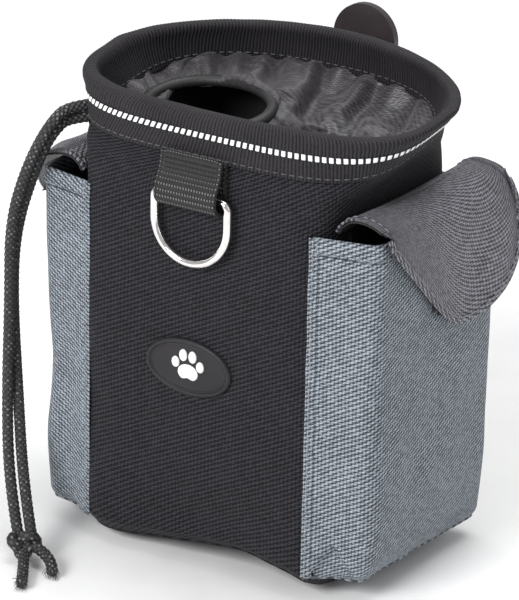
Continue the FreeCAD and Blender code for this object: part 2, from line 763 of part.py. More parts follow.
thumb_radius = clip_width / 2
lever = block(clip_left, clip_right, lever_front, lever_back, clip_bottom, clip_top - thumb_radius)
thumb_centre = V(clip_x, lever_front, clip_top - thumb_radius)
lever = lever.fuse(rod(thumb_centre, thumb_centre + V(0, clip_lever_thickness, 0), thumb_radius))
hook = block(clip_left, clip_right, plate_back + clearance, lever_front, clip_bottom,
             clip_bottom + hook_height)
bosses = []
inner_left = clip_left + ear_thickness + clearance
inner_right = clip_right - ear_thickness - clearance
for boss_x in (inner_left, inner_right - boss_width):
    web = block(boss_x, boss_x + boss_width, pin_y, lever_front,
                clip_pin_height - boss_radius, clip_pin_height + boss_radius)
    eye = rod(V(boss_x, pin_y, clip_pin_height), V(boss_x + boss_width, pin_y, clip_pin_height),
              boss_radius)
    bosses.append(web.fuse(eye))
lever = lever.fuse([hook] + bosses)
lever = lever.cut(rod(pin_start, pin_end, pin_radius + clip_pin_play))
for ear_x in ear_faces:
    relief = rod(V(ear_x - clearance, pin_y, clip_pin_height),
                 V(ear_x + ear_thickness + clearance, pin_y, clip_pin_height),
                 ear_reach + clearance)
    lever = lever.cut(relief)
parts["clip_lever"] = largest(lever.removeSplitter())

coil_radius = pin_radius + clip_pin_play + spring_wire / 2 + spring_play
coil_length = spring_pitch * spring_turns
helix = Part.makeHelix(spring_pitch, coil_length, coil_radius)
profile = Part.Wire(Part.makeCircle(spring_wire / 2, V(coil_radius, 0, 0), V(0, 1, 0)))
coil = Part.Wire(helix).makePipeShell([profile], True, True)
coil.rotate(V(0, 0, 0), V(0, 1, 0), 90)
coil.translate(V(clip_x - coil_length / 2, pin_y, clip_pin_height))
parts["clip_spring"] = coil


# ---- export --------------------------------------------------------------
os.makedirs("parts", exist_ok=True)
for name, shape in sorted(parts.items()):
    if not shape.isValid():
        print("not valid:", name)
    shape.exportStep("parts/" + name + ".step")
print(len(parts), "parts")
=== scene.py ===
"""Belt-worn treat pouch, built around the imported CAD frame. Sizes are in millimetres
until a mesh is made, where MM turns them into metres."""
import bisect
import bpy
import math
import random
from mathutils import Matrix, Vector, noise


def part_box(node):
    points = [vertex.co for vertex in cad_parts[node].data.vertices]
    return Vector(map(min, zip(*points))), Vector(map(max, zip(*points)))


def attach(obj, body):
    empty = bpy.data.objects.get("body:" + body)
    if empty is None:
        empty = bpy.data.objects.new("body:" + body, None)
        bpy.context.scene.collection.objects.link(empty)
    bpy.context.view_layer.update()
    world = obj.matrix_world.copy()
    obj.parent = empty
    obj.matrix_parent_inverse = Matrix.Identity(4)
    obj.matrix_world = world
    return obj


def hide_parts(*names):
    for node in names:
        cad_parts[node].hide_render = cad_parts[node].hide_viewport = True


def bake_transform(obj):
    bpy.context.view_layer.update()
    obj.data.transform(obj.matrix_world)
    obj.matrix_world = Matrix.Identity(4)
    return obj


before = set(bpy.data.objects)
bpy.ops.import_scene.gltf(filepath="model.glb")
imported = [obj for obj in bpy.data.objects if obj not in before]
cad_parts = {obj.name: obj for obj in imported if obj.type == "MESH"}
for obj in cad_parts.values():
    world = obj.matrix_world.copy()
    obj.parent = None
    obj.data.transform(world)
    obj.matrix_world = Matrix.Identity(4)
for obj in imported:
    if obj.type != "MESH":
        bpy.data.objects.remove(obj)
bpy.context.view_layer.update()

MM = 0.001
POUCH = "pouch"

# ------------------------------------------------------------------ camera
AZIMUTH = math.radians(32.91)
ELEVATION = math.radians(21.55)
ROLL = math.radians(1.22)
TARGET = Vector((-3.21, 0.0, 85.09)) * MM
DISTANCE = 1.16243
forward = Vector((-math.sin(AZIMUTH) * math.cos(ELEVATION),
                  math.cos(AZIMUTH) * math.cos(ELEVATION), -math.sin(ELEVATION)))
level_right = Vector((math.cos(AZIMUTH), math.sin(AZIMUTH), 0.0))
level_up = level_right.cross(forward)
right = level_right * math.cos(ROLL) + level_up * math.sin(ROLL)
up = level_up * math.cos(ROLL) - level_right * math.sin(ROLL)
camera_data = bpy.data.cameras.new("camera")
camera_data.lens = 200.2
camera_data.sensor_width = 36.0
camera_data.clip_start = 0.05
camera = bpy.data.objects.new("camera", camera_data)
bpy.context.scene.collection.objects.link(camera)
turn = Matrix((right, up, -forward)).transposed().to_4x4()
camera.matrix_world = Matrix.Translation(TARGET - forward * DISTANCE) @ turn
bpy.context.scene.camera = camera
bpy.context.scene.view_settings.view_transform = "Standard"


# --------------------------------------------------------------- materials
class Graph:
    """A principled material and short calls for the nodes that feed it."""

    def __init__(self, name, **constants):
        self.material = bpy.data.materials.new(name)
        self.material.use_nodes = True
        self.tree = self.material.node_tree
        self.shader = self.tree.nodes["Principled BSDF"]
        for key, value in constants.items():
            self.shader.inputs[key.replace("_", " ")].default_value = value

    def put(self, socket, value):
        if isinstance(value, bpy.types.NodeSocket):
            self.tree.links.new(value, socket)
        elif isinstance(value, tuple) and len(value) == 3 and socket.type == "RGBA":
            socket.default_value = (*value, 1.0)
        else:
            socket.default_value = value

    def node(self, kind, output=0, settings=None, **inputs):
        made = self.tree.nodes.new("ShaderNode" + kind)
        for key, value in (settings or {}).items():
            setattr(made, key, value)
        for key, value in inputs.items():
            self.put(made.inputs[key.replace("_", " ")], value)
        return made.outputs[output]

    def math(self, operation, a, b=0.0, c=0.0):
        made = self.tree.nodes.new("ShaderNodeMath")
        made.operation = operation
        for socket, value in zip(made.inputs, (a, b, c)):
            self.put(socket, value)
        return made.outputs[0]

    def mix(self, factor, a, b):
        made = self.tree.nodes.new("ShaderNodeMix")
        made.data_type = "RGBA"
        self.put(made.inputs[0], factor)
        self.put(made.inputs[6], a)
        self.put(made.inputs[7], b)
        return made.outputs[2]

    def ramp(self, value, low, high, to_low=0.0, to_high=1.0):
        made = self.tree.nodes.new("ShaderNodeMapRange")
        made.clamp = True
        for socket, number in zip(made.inputs, (value, low, high, to_low, to_high)):
            self.put(socket, number)
        return made.outputs[0]

    def uv(self):
        made = self.tree.nodes.new("ShaderNodeUVMap")
        made.uv_map = "cloth"
        parts = self.tree.nodes.new("ShaderNodeSeparateXYZ")
        self.tree.links.new(made.outputs[0], parts.inputs[0])
        return parts.outputs[0], parts.outputs[1]

    def place(self, scale=1000.0):
        """Object position in millimetres (or another unit) for noises."""
        made = self.node("TexCoord", "Object")
        return self.node("VectorMath", settings={"operation": "SCALE"}, Vector=made, Scale=scale)

    def noise(self, scale, detail=3.0, vector=None, roughness=0.5):
        vector = vector or self.place()
        return self.node("TexNoise", Vector=vector, Scale=scale, Detail=detail,
                         Roughness=roughness)

    def finish(self, colour, height=None, distance=0.1, strength=1.0, roughness=None):
        self.put(self.shader.inputs["Base Color"], colour)
        if roughness is not None:
            self.put(self.shader.inputs["Roughness"], roughness)
        if height is not None:
            bump = self.node("Bump", Height=height, Distance=distance * MM, Strength=strength)
            self.put(self.shader.inputs["Normal"], bump)
        return self.material


def woven(name, dark, light, pitch_u, pitch_v, distance, slant=0.16, speckle=0.35, coarse=0.2,
          **constants):
    """Plain weave of thick yarns with a faint diagonal, as in pack cloth."""
    g = Graph(name, **constants)
    u, v = g.uv()
    wander = g.noise(0.09, 2.0)
    wander = g.math("MULTIPLY", g.math("SUBTRACT", wander, 0.5), 1.4)
    a = g.math("DIVIDE", g.math("ADD", u, wander), pitch_u)
    b = g.math("DIVIDE", g.math("ADD", v, wander), pitch_v)
    fa, fb = g.math("FRACT", a), g.math("FRACT", b)
    ra, rb = g.math("FLOOR", a), g.math("FLOOR", b)
    sa = g.math("SINE", g.math("MULTIPLY", fa, math.pi))
    sb = g.math("SINE", g.math("MULTIPLY", fb, math.pi))
    across = g.math("MULTIPLY", g.math("POWER", sa, 0.45), g.math("POWER", sb, 1.15))
    along = g.math("MULTIPLY", g.math("POWER", sa, 1.15), g.math("POWER", sb, 0.45))
    parity = g.math("FLOORED_MODULO", g.math("ADD", ra, rb), 2.0)
    height = g.math("ADD", across, g.math("MULTIPLY", parity, g.math("SUBTRACT", along, across)))
    diagonal = g.math("SUBTRACT", g.math("MULTIPLY", v, 0.89), g.math("MULTIPLY", u, 0.454))
    diagonal = g.math("SINE", g.math("MULTIPLY", diagonal, 2 * math.pi / (1.55 * pitch_v)))
    cell = g.node("CombineXYZ", X=ra, Y=rb)
    random_cell = g.node("TexWhiteNoise", settings={"noise_dimensions": "2D"}, Vector=cell)
    large = g.noise(0.035, 3.0)
    # the yarn crowns are painted lighter as a highlight and the gaps between yarns darker as
    # painted shade
    tone = g.math("MULTIPLY_ADD", diagonal, slant, g.math("MULTIPLY", height, 0.72))
    tone = g.math("MULTIPLY_ADD", g.math("SUBTRACT", random_cell, 0.5), speckle, tone)
    tone = g.math("MULTIPLY_ADD", g.math("SUBTRACT", large, 0.5), coarse, tone)
    tone = g.ramp(tone, -0.05, 1.0)
    height = g.math("MULTIPLY_ADD", diagonal, 0.3, height)
    return g.finish(g.mix(tone, dark, light), height, distance)


def ribbed(name, dark, light, pitch, distance, rib, rib_axis, dots=0.0, **constants):
    """Grosgrain or webbing: fine cross threads over the modelled ribs, with an optional
    dotted light line in each groove."""
    g = Graph(name, **constants)
    u, v = g.uv()
    across = u if rib_axis == "u" else v
    along = v if rib_axis == "u" else u
    groove = g.math("COSINE", g.math("MULTIPLY", across, 2 * math.pi / rib))
    thread = g.math("SINE", g.math("MULTIPLY", v, 2 * math.pi / pitch))
    cross = g.math("SINE", g.math("MULTIPLY", u, 2 * math.pi / (pitch * 1.7)))
    height = g.math("MULTIPLY_ADD", cross, 0.3, g.math("MULTIPLY", thread, 0.5))
    fuzz = g.noise(1.1, 3.0)
    large = g.noise(0.06, 2.0)
    tone = g.math("MULTIPLY_ADD", height, 0.28, g.math("MULTIPLY", fuzz, 0.7))
    tone = g.math("MULTIPLY_ADD", g.math("SUBTRACT", large, 0.5), 0.4, tone)
    # the grooves between the ribs are painted darker, as painted shade
    tone = g.math("MULTIPLY_ADD", groove, -0.3, tone)
    colour = g.mix(g.ramp(tone, -0.1, 0.85), dark, light)
    if dots:
        dot = g.math("SINE", g.math("MULTIPLY", along, 2 * math.pi / 1.1))
        line = g.math("MULTIPLY", g.ramp(groove, 0.55, 0.9), g.ramp(dot, -0.2, 0.5))
        colour = g.mix(g.math("MULTIPLY", line, dots), colour, (0.20, 0.20, 0.195))
    return g.finish(colour, height, distance)


def braided(name, dark, light, glint_colour, **constants):
    """Round braid; the shader repeats the carriers of the mesh and paints glints on the crowns of
    some of them.
    """
    g = Graph(name, **constants)
    u, v = g.uv()
    a = g.math("ADD", g.math("DIVIDE", v, CARRIER), g.math("DIVIDE", u, CARRIER))
    b = g.math("SUBTRACT", g.math("DIVIDE", v, CARRIER), g.math("DIVIDE", u, CARRIER))
    ra, rb = g.math("FLOOR", a), g.math("FLOOR", b)
    sa = g.math("SINE", g.math("MULTIPLY", g.math("FRACT", a), math.pi))
    sb = g.math("SINE", g.math("MULTIPLY", g.math("FRACT", b), math.pi))
    height = g.math("MULTIPLY", sa, sb)
    threads = g.math("SINE", g.math("MULTIPLY", g.math("ADD", a, b), 2 * math.pi * 4))
    cell = g.node("CombineXYZ", X=ra, Y=rb)
    chance = g.node("TexWhiteNoise", settings={"noise_dimensions": "2D"}, Vector=cell)
    # painted glints: light spots on the crowns of some carriers
    lit = g.math("MULTIPLY", g.ramp(chance, 0.66, 0.72), g.ramp(height, 0.5, 0.9))
    fuzz = g.noise(1.6, 3.0)
    # the carriers' crowns are painted lighter and the gaps between them darker, as painted
    # highlight and shade
    tone = g.math("MULTIPLY", height, g.math("MULTIPLY_ADD", fuzz, 0.8, 0.4))
    colour = g.mix(g.ramp(tone, 0.1, 0.9), dark, light)
    height = g.math("MULTIPLY_ADD", threads, 0.12, height)
    return g.finish(g.mix(g.math("MULTIPLY", lit, 0.75), colour, glint_colour), height, 0.16)


def speckled(name, dark, light, scale, distance, detail=4.0, **constants):
    """Moulded or matt surface with a fine grain and slow colour change."""
    g = Graph(name, **constants)
    grain = g.noise(scale, detail)
    large = g.noise(0.05, 2.0)
    tone = g.math("MULTIPLY_ADD", large, 0.6, g.math("MULTIPLY", grain, 0.4))
    rough = g.ramp(grain, 0.3, 0.7, 0.75, 1.1)
    rough = g.math("MULTIPLY", rough, constants.get("Roughness", 0.5))
    return g.finish(g.mix(g.ramp(tone, 0.3, 0.7), dark, light), grain, distance, roughness=rough)


def metal(name, colour, rough, scratch):
    g = Graph(name, Metallic=1.0)
    scuff = g.noise(0.5, 5.0, roughness=0.65)
    fine = g.noise(4.0, 2.0)
    low = tuple(c * 0.82 for c in colour)
    tint = g.mix(g.ramp(scuff, 0.35, 0.65), low, colour)
    shine = g.ramp(scuff, 0.35, 0.7, rough, rough + scratch)
    return g.finish(tint, fine, 0.004, 0.5, roughness=shine)


def hairy(name, dark, light, **constants):
    """Loop pile of a touch fastener."""
    g = Graph(name, **constants)
    loops = g.node("TexVoronoi", settings={"feature": "F1"}, Vector=g.place(), Scale=1.7)
    fuzz = g.noise(2.4, 4.0)
    height = g.math("MULTIPLY_ADD", fuzz, 0.7, g.math("MULTIPLY", loops, -0.8))
    # the loop tops are painted lighter and the pile between them darker, as painted highlight and
    # shade
    return g.finish(g.mix(g.ramp(height, -0.4, 0.5), dark, light), height, 0.35)


RIB = 1.3            # pitch of the binding's ribs
TAB_RIB = 1.9
CORD_RADIUS = 2.0
CARRIER = 2 * math.pi * CORD_RADIUS / 6      # arc and rise of one braid carrier

M = {
    "body_cloth": woven("body_cloth", (0.0030, 0.0028, 0.0040), (0.036, 0.034, 0.042), 1.4, 0.98,
                        0.24, slant=0.46, Roughness=0.7, Specular_IOR_Level=0.16,
                        Sheen_Weight=0.03),
    "pocket_cloth": woven("pocket_cloth", (0.030, 0.036, 0.044), (0.40, 0.45, 0.51), 1.3, 0.95,
                          0.24, slant=0.40, Roughness=0.65, Specular_IOR_Level=0.3,
                          Sheen_Weight=0.05),
    "flap_cloth": woven("flap_cloth", (0.022, 0.022, 0.028), (0.37, 0.366, 0.41), 1.25, 1.0,
                        0.24, slant=0.34, Roughness=0.65, Specular_IOR_Level=0.3,
                        Sheen_Weight=0.05),
    "lining_cloth": woven("lining_cloth", (0.006, 0.0055, 0.0065), (0.032, 0.028, 0.034), 0.6, 0.45,
                          0.05, slant=0.1, Roughness=0.5, Sheen_Weight=0.1),
    "collar_nylon": woven("collar_nylon", (0.010, 0.009, 0.011), (0.085, 0.076, 0.088), 0.62, 0.5,
                          0.05, slant=0.2, speckle=0.5, Roughness=0.42, Sheen_Weight=0.2),
    "ribbed_tape": ribbed("ribbed_tape", (0.003, 0.0028, 0.0035), (0.040, 0.036, 0.042), 0.5, 0.03,
                          RIB, "u", Roughness=0.7, Specular_IOR_Level=0.2, Sheen_Weight=0.03),
    "webbing": ribbed("webbing", (0.003, 0.003, 0.0035), (0.030, 0.029, 0.030), 0.9, 0.06,
                      TAB_RIB, "v", 0.8, Roughness=0.65, Specular_IOR_Level=0.22,
                      Sheen_Weight=0.03),
    "plain_tape": speckled("plain_tape", (0.004, 0.0036, 0.0045), (0.020, 0.018, 0.021), 2.0, 0.05,
                           Roughness=0.7, Specular_IOR_Level=0.2),
    # the third colour is the painted glint on the cord's carriers
    "cord": braided("cord", (0.006, 0.006, 0.0065), (0.050, 0.050, 0.052), (0.21, 0.21, 0.205),
                    Roughness=0.55),
    "fastener": hairy("fastener", (0.008, 0.008, 0.009), (0.05, 0.049, 0.052), Roughness=0.8,
                      Sheen_Weight=0.3),
    "reflective": speckled("reflective", (0.74, 0.75, 0.76), (0.92, 0.92, 0.92), 1.5, 0.02,
                           Roughness=0.32),
    "hoop_plastic": speckled("hoop_plastic", (0.03, 0.03, 0.03), (0.05, 0.05, 0.05), 0.8, 0.02,
                             Roughness=0.45),
    "clip_plastic": speckled("clip_plastic", (0.020, 0.014, 0.016), (0.040, 0.032, 0.035), 1.6,
                             0.035, Roughness=0.40),
    "badge_rubber": speckled("badge_rubber", (0.010, 0.009, 0.011), (0.022, 0.020, 0.024), 2.2,
                             0.03, Roughness=0.55, Specular_IOR_Level=0.3),
    "emblem_rubber": speckled("emblem_rubber", (0.76, 0.76, 0.77), (0.88, 0.88, 0.88), 1.2, 0.02,
                              Roughness=0.45),
    "ring_chrome": metal("ring_chrome", (0.86, 0.83, 0.82), 0.07, 0.12),
    "pin_steel": metal("pin_steel", (0.62, 0.61, 0.60), 0.22, 0.2),
    "eyelet_metal": metal("eyelet_metal", (0.10, 0.09, 0.095), 0.28, 0.2),
    "thread_grey": speckled("thread_grey", (0.16, 0.17, 0.19), (0.34, 0.35, 0.38), 3.0, 0.03,
                            Roughness=0.5),
    "thread_black": speckled("thread_black", (0.05, 0.048, 0.052), (0.12, 0.115, 0.12), 3.0, 0.03,
                             Roughness=0.5),
}


# ------------------------------------------------------------ mesh helpers
def lay_uv(mesh, per_loop):
    layer = mesh.uv_layers.new(name="cloth")
    layer.uv.foreach_set("vector", [c for uv in per_loop for c in uv])


def new_piece(name, vertices, faces, material, per_loop=None):
    mesh = bpy.data.meshes.new(name)
    mesh.from_pydata([tuple(c * MM for c in v) for v in vertices], [], faces)
    if per_loop:
        lay_uv(mesh, per_loop)
    mesh.materials.append(M[material])
    mesh.polygons.foreach_set("use_smooth", [True] * len(mesh.polygons))
    mesh.validate()
    made = bpy.data.objects.new(name, mesh)
    bpy.context.scene.collection.objects.link(made)
    return made


def grid(name, rows, material, closed=False, ring=False, flip=False, u_step=None):
    """A surface through rows of points; closed joins each row's ends, ring the first
    and last row. Its UV map is in millimetres of cloth."""
    count = len(rows[0])
    middle_row = rows[len(rows) // 2]
    middle = count // 2
    columns = count if closed else count - 1
    bands = len(rows) if ring else len(rows) - 1
    u = [0.0]
    for j in range(columns):
        step = (Vector(middle_row[(j + 1) % count]) - Vector(middle_row[j])).length
        u.append(u[-1] + (u_step or step))
    v = [0.0]
    for i in range(bands):
        step = Vector(rows[(i + 1) % len(rows)][middle]) - Vector(rows[i][middle])
        v.append(v[-1] + step.length)
    vertices = [p for row in rows for p in row]
    faces = []
    per_loop = []
    for i in range(bands):
        below = (i + 1) % len(rows)
        for j in range(columns):
            k = (j + 1) % count
            corners = [(i * count + j, u[j], v[i]), (i * count + k, u[j + 1], v[i]),
                       (below * count + k, u[j + 1], v[i + 1]), (below * count + j, u[j], v[i + 1])]
            if flip:
                corners.reverse()
            faces.append([c[0] for c in corners])
            per_loop += [(c[1], c[2]) for c in corners]
    return new_piece(name, vertices, faces, material, per_loop)


def settle(piece):
    """Applies the piece's modifiers."""
    graph = bpy.context.evaluated_depsgraph_get()
    mesh = bpy.data.meshes.new_from_object(piece.evaluated_get(graph))
    piece.modifiers.clear()
    piece.data = mesh
    return piece


def thicken(piece, thickness, offset=-1.0):
    modifier = piece.modifiers.new("thickness", "SOLIDIFY")
    modifier.thickness = thickness * MM
    modifier.offset = offset
    modifier.use_even_offset = False
    return settle(piece)


def smoothstep(x):
    x = min(1.0, max(0.0, x))
    return x * x * (3 - 2 * x)


def bump(x, middle, width):
    return math.exp(-((x - middle) / width) ** 2)


def wobble(x, y, z, scale, seed=0.0):
    """Smooth noise from -1 to 1 at a place."""
    return noise.noise(Vector((x / scale + seed, y / scale + 3.7 * seed, z / scale - 1.3 * seed)))


def spline(points, per_run=8, closed=False):
    """Catmull-Rom curve through points of any dimension."""
    n = len(points)
    made = []
    runs = n if closed else n - 1
    for i in range(runs):
        if closed:
            p0, p1, p2, p3 = (points[(i + k) % n] for k in (-1, 0, 1, 2))
        else:
            p1, p2 = points[i], points[i + 1]
            p0 = points[i - 1] if i else [2 * a - b for a, b in zip(p1, p2)]
            p3 = points[i + 2] if i + 2 < n else [2 * b - a for a, b in zip(p1, p2)]
        for k in range(per_run):
            t = k / per_run
            made.append([0.5 * (2 * b + (c - a) * t + (2 * a - 5 * b + 4 * c - d) * t * t
                                + (3 * b - a - 3 * c + d) * t ** 3)
                         for a, b, c, d in zip(p0, p1, p2, p3)])
    if not closed:
        made.append(list(points[-1]))
    return made


class Track:
    """A polyline read by distance along it."""

    def __init__(self, points):
        self.points = [Vector(p) for p in points]
        self.at = [0.0]
        for a, b in zip(self.points, self.points[1:]):
            self.at.append(self.at[-1] + (b - a).length)
        self.length = self.at[-1]

    def __call__(self, s):
        i = min(max(bisect.bisect_right(self.at, s) - 1, 0), len(self.points) - 2)
        span = self.at[i + 1] - self.at[i]
        t = (s - self.at[i]) / span if span else 0.0
        return self.points[i].lerp(self.points[i + 1], t)

    def direction(self, s, reach=0.5):
        a, b = self(max(s - reach, 0.0)), self(min(s + reach, self.length))
        return (b - a).normalized()


def frames(points, closed=False):
    """Two normals at each point, carried along without twist."""
    n = len(points)
    tangents = []
    for i in range(n):
        a = points[i - 1] if closed or i else points[0]
        b = points[(i + 1) % n] if closed or i + 1 < n else points[-1]
        tangents.append((b - a).normalized())
    start = tangents[0].orthogonal().normalized()
    made = []
    for t in tangents:
        start = (start - t * start.dot(t)).normalized()
        made.append((start.copy(), t.cross(start)))
    return made


def tube(name, points, radius, material, around=16, closed=False, shape=None):
    """Tube on a line of points; shape(s, angle) adds to its radius."""
    points = [Vector(p) for p in points]
    rows = []
    s = 0.0
    for i, (p, (a, b)) in enumerate(zip(points, frames(points, closed))):
        if i:
            s += (p - points[i - 1]).length
        row = []
        for j in range(around):
            angle = 2 * math.pi * j / around
            r = radius + (shape(s, angle) if shape else 0.0)
            row.append(p + (a * math.cos(angle) + b * math.sin(angle)) * r)
        rows.append(row)
    if not closed:
        for end, row, side in ((0, rows[0], -1), (-1, rows[-1], 1)):
            centre = sum(row, Vector()) / around
            along = (points[end] - points[1 if end == 0 else -2]).normalized()
            size = (row[0] - centre).length
            ball = [[centre + (q - centre) * math.cos(k) + along * size * 0.7 * math.sin(k)
                     for q in row] for k in (0.5, 1.0, 1.4, 1.55)]
            rows = ball[::-1] + rows if side < 0 else rows + ball
    return swapped_grid(name, rows, material, closed)


def swapped_grid(name, rows, material, ring):
    """Grid whose U runs along the tube and V around it, both in millimetres."""
    count = len(rows[0])
    bands = len(rows) if ring else len(rows) - 1
    centres = [sum((Vector(p) for p in row), Vector()) / count for row in rows]
    u = [0.0]
    for i in range(bands):
        u.append(u[-1] + (centres[(i + 1) % len(rows)] - centres[i]).length)
    turn_length = 2 * math.pi * CORD_RADIUS
    faces = []
    per_loop = []
    for i in range(bands):
        below = (i + 1) % len(rows)
        for j in range(count):
            k = (j + 1) % count
            v0, v1 = turn_length * j / count, turn_length * (j + 1) / count
            faces.append([i * count + j, below * count + j, below * count + k, i * count + k])
            per_loop += [(u[i], v0), (u[i + 1], v0), (u[i + 1], v1), (u[i], v1)]
    vertices = [tuple(p) for row in rows for p in row]
    if not ring:
        for row, flip in ((0, False), (len(rows) - 1, True)):
            loop = [row * count + j for j in range(count)]
            faces.append(loop if not flip else loop[::-1])
            per_loop += [(u[min(row, bands)], turn_length * j / count) for j in range(count)]
    return new_piece(name, vertices, faces, material, per_loop)


def stitches(name, track_points, normals, material, length, gap, radius, slot=None, lift=0.1):
    """A row of short raised threads on a line; normals face away from the cloth."""
    track = Track(track_points)
    vertices = []
    faces = []
    around = 6
    s = gap
    while s + length < track.length:
        a, b = track(s), track(s + length)
        middle = (s + length / 2) / track.length
        index = middle * (len(normals) - 1)
        i = min(int(index), len(normals) - 2)
        n = normals[i].lerp(normals[i + 1], index - i).normalized()
        along = (b - a).normalized()
        side = along.cross(n).normalized()
        first = len(vertices)
        for k in range(5):
            t = k / 4
            swell = math.sin(math.pi * (0.12 + 0.76 * t))
            centre = a.lerp(b, t) + n * (lift + radius * 1.1 * (swell - 0.4))
            for j in range(around):
                angle = 2 * math.pi * j / around
                r = radius * (0.55 + 0.45 * swell)
                vertices.append(centre + (side * math.cos(angle) + n * math.sin(angle)) * r)
        for k in range(4):
            for j in range(around):
                m = (j + 1) % around
                faces.append([first + k * around + j, first + k * around + m,
                              first + (k + 1) * around + m, first + (k + 1) * around + j])
        faces.append([first + j for j in range(around)][::-1])
        faces.append([first + 4 * around + j for j in range(around)])
        s += length + gap
    return new_piece(name, vertices, faces, material)


TOPSTITCH = {"material": "thread_grey", "length": 1.9, "gap": 1.0, "radius": 0.2,
             "slot": "pocket_cloth", "lift": 0.05}


def ridden(piece, body, *nodes):
    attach(piece, body)
    if nodes:
        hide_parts(*nodes)
    return piece


# -------------------------------------------------------------------- cords
STRAND_ROUTES = {
    "a": [(-40.2, -19.85, 155.55), (-59.0, -34.0, 155.55), (-60.5, -45.5, 150.0),
          (-68.0, -48.5, 133.5), (-75.0, -48.5, 112.0), (-75.3, -48.5, 84.0),
          (-74.6, -51.5, 49.0), (-66.0, -62.0, 22.0), (-55.0, -71.5, 9.0)],
    "b": [(-40.2, -19.85, 151.25), (-59.0, -34.0, 151.25), (-62.0, -41.8, 146.0),
          (-67.5, -44.3, 132.5), (-76.0, -44.3, 108.0), (-77.4, -44.2, 82.0),
          (-72.9, -47.3, 49.0), (-61.0, -60.5, 23.0), (-50.0, -70.5, 10.0)],
}
TAIL_ROUTES = {
    "a": [(-48.0, -77.5, 5.2), (-43.0, -84.0, 2.6), (-38.0, -92.0, 2.3)],
    "b": [(-46.0, -74.0, 7.0), (-38.5, -73.5, 5.0), (-35.0, -78.5, 2.3)],
}
KNOT = Vector((-50.5, -74.0, 6.7))


def route_points(points):
    """Points in millimetres along the smooth line of a route."""
    curve = bpy.data.curves.new("route", "CURVE")
    curve.dimensions = "3D"
    curve.resolution_u = 40
    line = curve.splines.new("NURBS")
    line.points.add(len(points) - 1)
    for control, p in zip(line.points, points):
        control.co = (p[0] * MM, p[1] * MM, p[2] * MM, 1.0)
    line.order_u = 3
    line.use_endpoint_u = True
    holder = bpy.data.objects.new("route", curve)
    bpy.context.scene.collection.objects.link(holder)
    graph = bpy.context.evaluated_depsgraph_get()
    mesh = bpy.data.meshes.new_from_object(holder.evaluated_get(graph))
    found = [v.co / MM for v in mesh.vertices]
    bpy.data.objects.remove(holder)
    bpy.data.meshes.remove(mesh)
    return found


def resampled(points, step):
    track = Track(points)
    count = max(2, round(track.length / step))
    return [track(track.length * i / count) for i in range(count + 1)]


def braid(s, angle):
    """Relief of the braid's carriers, each over two and under two."""
    a = angle * CORD_RADIUS / CARRIER + s / CARRIER
    b = angle * CORD_RADIUS / CARRIER - s / CARRIER
    ha, hb = math.sin(math.pi * (a % 1.0)), math.sin(math.pi * (b % 1.0))
    over = (math.floor(a) + math.floor(b)) % 2
    h = ha ** 0.5 * hb ** 1.1 if over else ha ** 1.1 * hb ** 0.5
    return 0.34 * (h - 0.62)


def braided_tube(name, points, radius=CORD_RADIUS - 0.05):
    return tube(name, points, radius, "cord", around=42, shape=braid)


FRAY_SEEDS = {"a": 11, "b": 12}
FRAY_HAIRS = {"a": 26, "b": 70}
HAIR_RADIUS = 0.16
for key, route in TAIL_ROUTES.items():
    line = resampled(route_points(route), 0.3)
    tail = braided_tube("drawcord_tail_" + key + "_braid", line)
    ridden(tail, POUCH, "drawcord_tail_" + key)
    random.seed(FRAY_SEEDS[key])
    end, along = line[-1], (line[-1] - line[-4]).normalized()
    hairs_v, hairs_f = [], []
    for _ in range(FRAY_HAIRS[key]):
        side = Vector((random.uniform(-1, 1), random.uniform(-1, 1), random.uniform(-0.8, 1)))
        root = end - along * 1.2 + side * 1.35
        tip = root + along * random.uniform(1.6, 3.4) + side * random.uniform(0.2, 1.3)
        tip.z = max(tip.z, 0.4)
        bend = root.lerp(tip, 0.55) + side * 0.25
        base = len(hairs_v)
        for p, r in ((root, HAIR_RADIUS), (bend, HAIR_RADIUS * 0.8), (tip, HAIR_RADIUS * 0.4)):
            for m in range(3):
                angle = 2 * math.pi * m / 3
                hairs_v.append(p + Vector((math.cos(angle), 0.3, math.sin(angle))) * r)
        for k in (0, 3):
            for m in range(3):
                q = (m + 1) % 3
                hairs_f.append([base + k + m, base + k + q, base + k + 3 + q, base + k + 3 + m])
        hairs_f.append([base + 8, base + 7, base + 6])
        hairs_f.append([base, base + 1, base + 2])
    fray = new_piece("drawcord_fray_" + key, hairs_v, hairs_f, "thread_black")
    ridden(fray, POUCH)

knot_line = []
KNOT_STEPS = 150
facing = Vector((0.35, -0.80, 0.5)).normalized()
knot_x = Vector((0.9, 0.4, 0.0)).normalized()
knot_x = (knot_x - facing * knot_x.dot(facing)).normalized()
knot_y = facing.cross(knot_x)
for i in range(KNOT_STEPS):
    t = 2 * math.pi * i / KNOT_STEPS
    across = 1.5 * (math.sin(t) + 2 * math.sin(2 * t))
    rise = 1.32 * (math.cos(t) - 2 * math.cos(2 * t))
    depth = -1.75 * math.sin(3 * t)
    knot_line.append(KNOT + knot_x * across + knot_y * rise + facing * depth)
knot = tube("drawcord_overhand_knot", knot_line, CORD_RADIUS - 0.02, "cord", around=42, closed=True,
            shape=braid)
ridden(knot, POUCH, "drawcord_knot")

for key, route in STRAND_ROUTES.items():
    line = resampled(route_points(route), 0.34)
    strand = braided_tube("drawcord_strand_" + key + "_braid", line)
    ridden(strand, POUCH, "drawcord_strand_" + key)


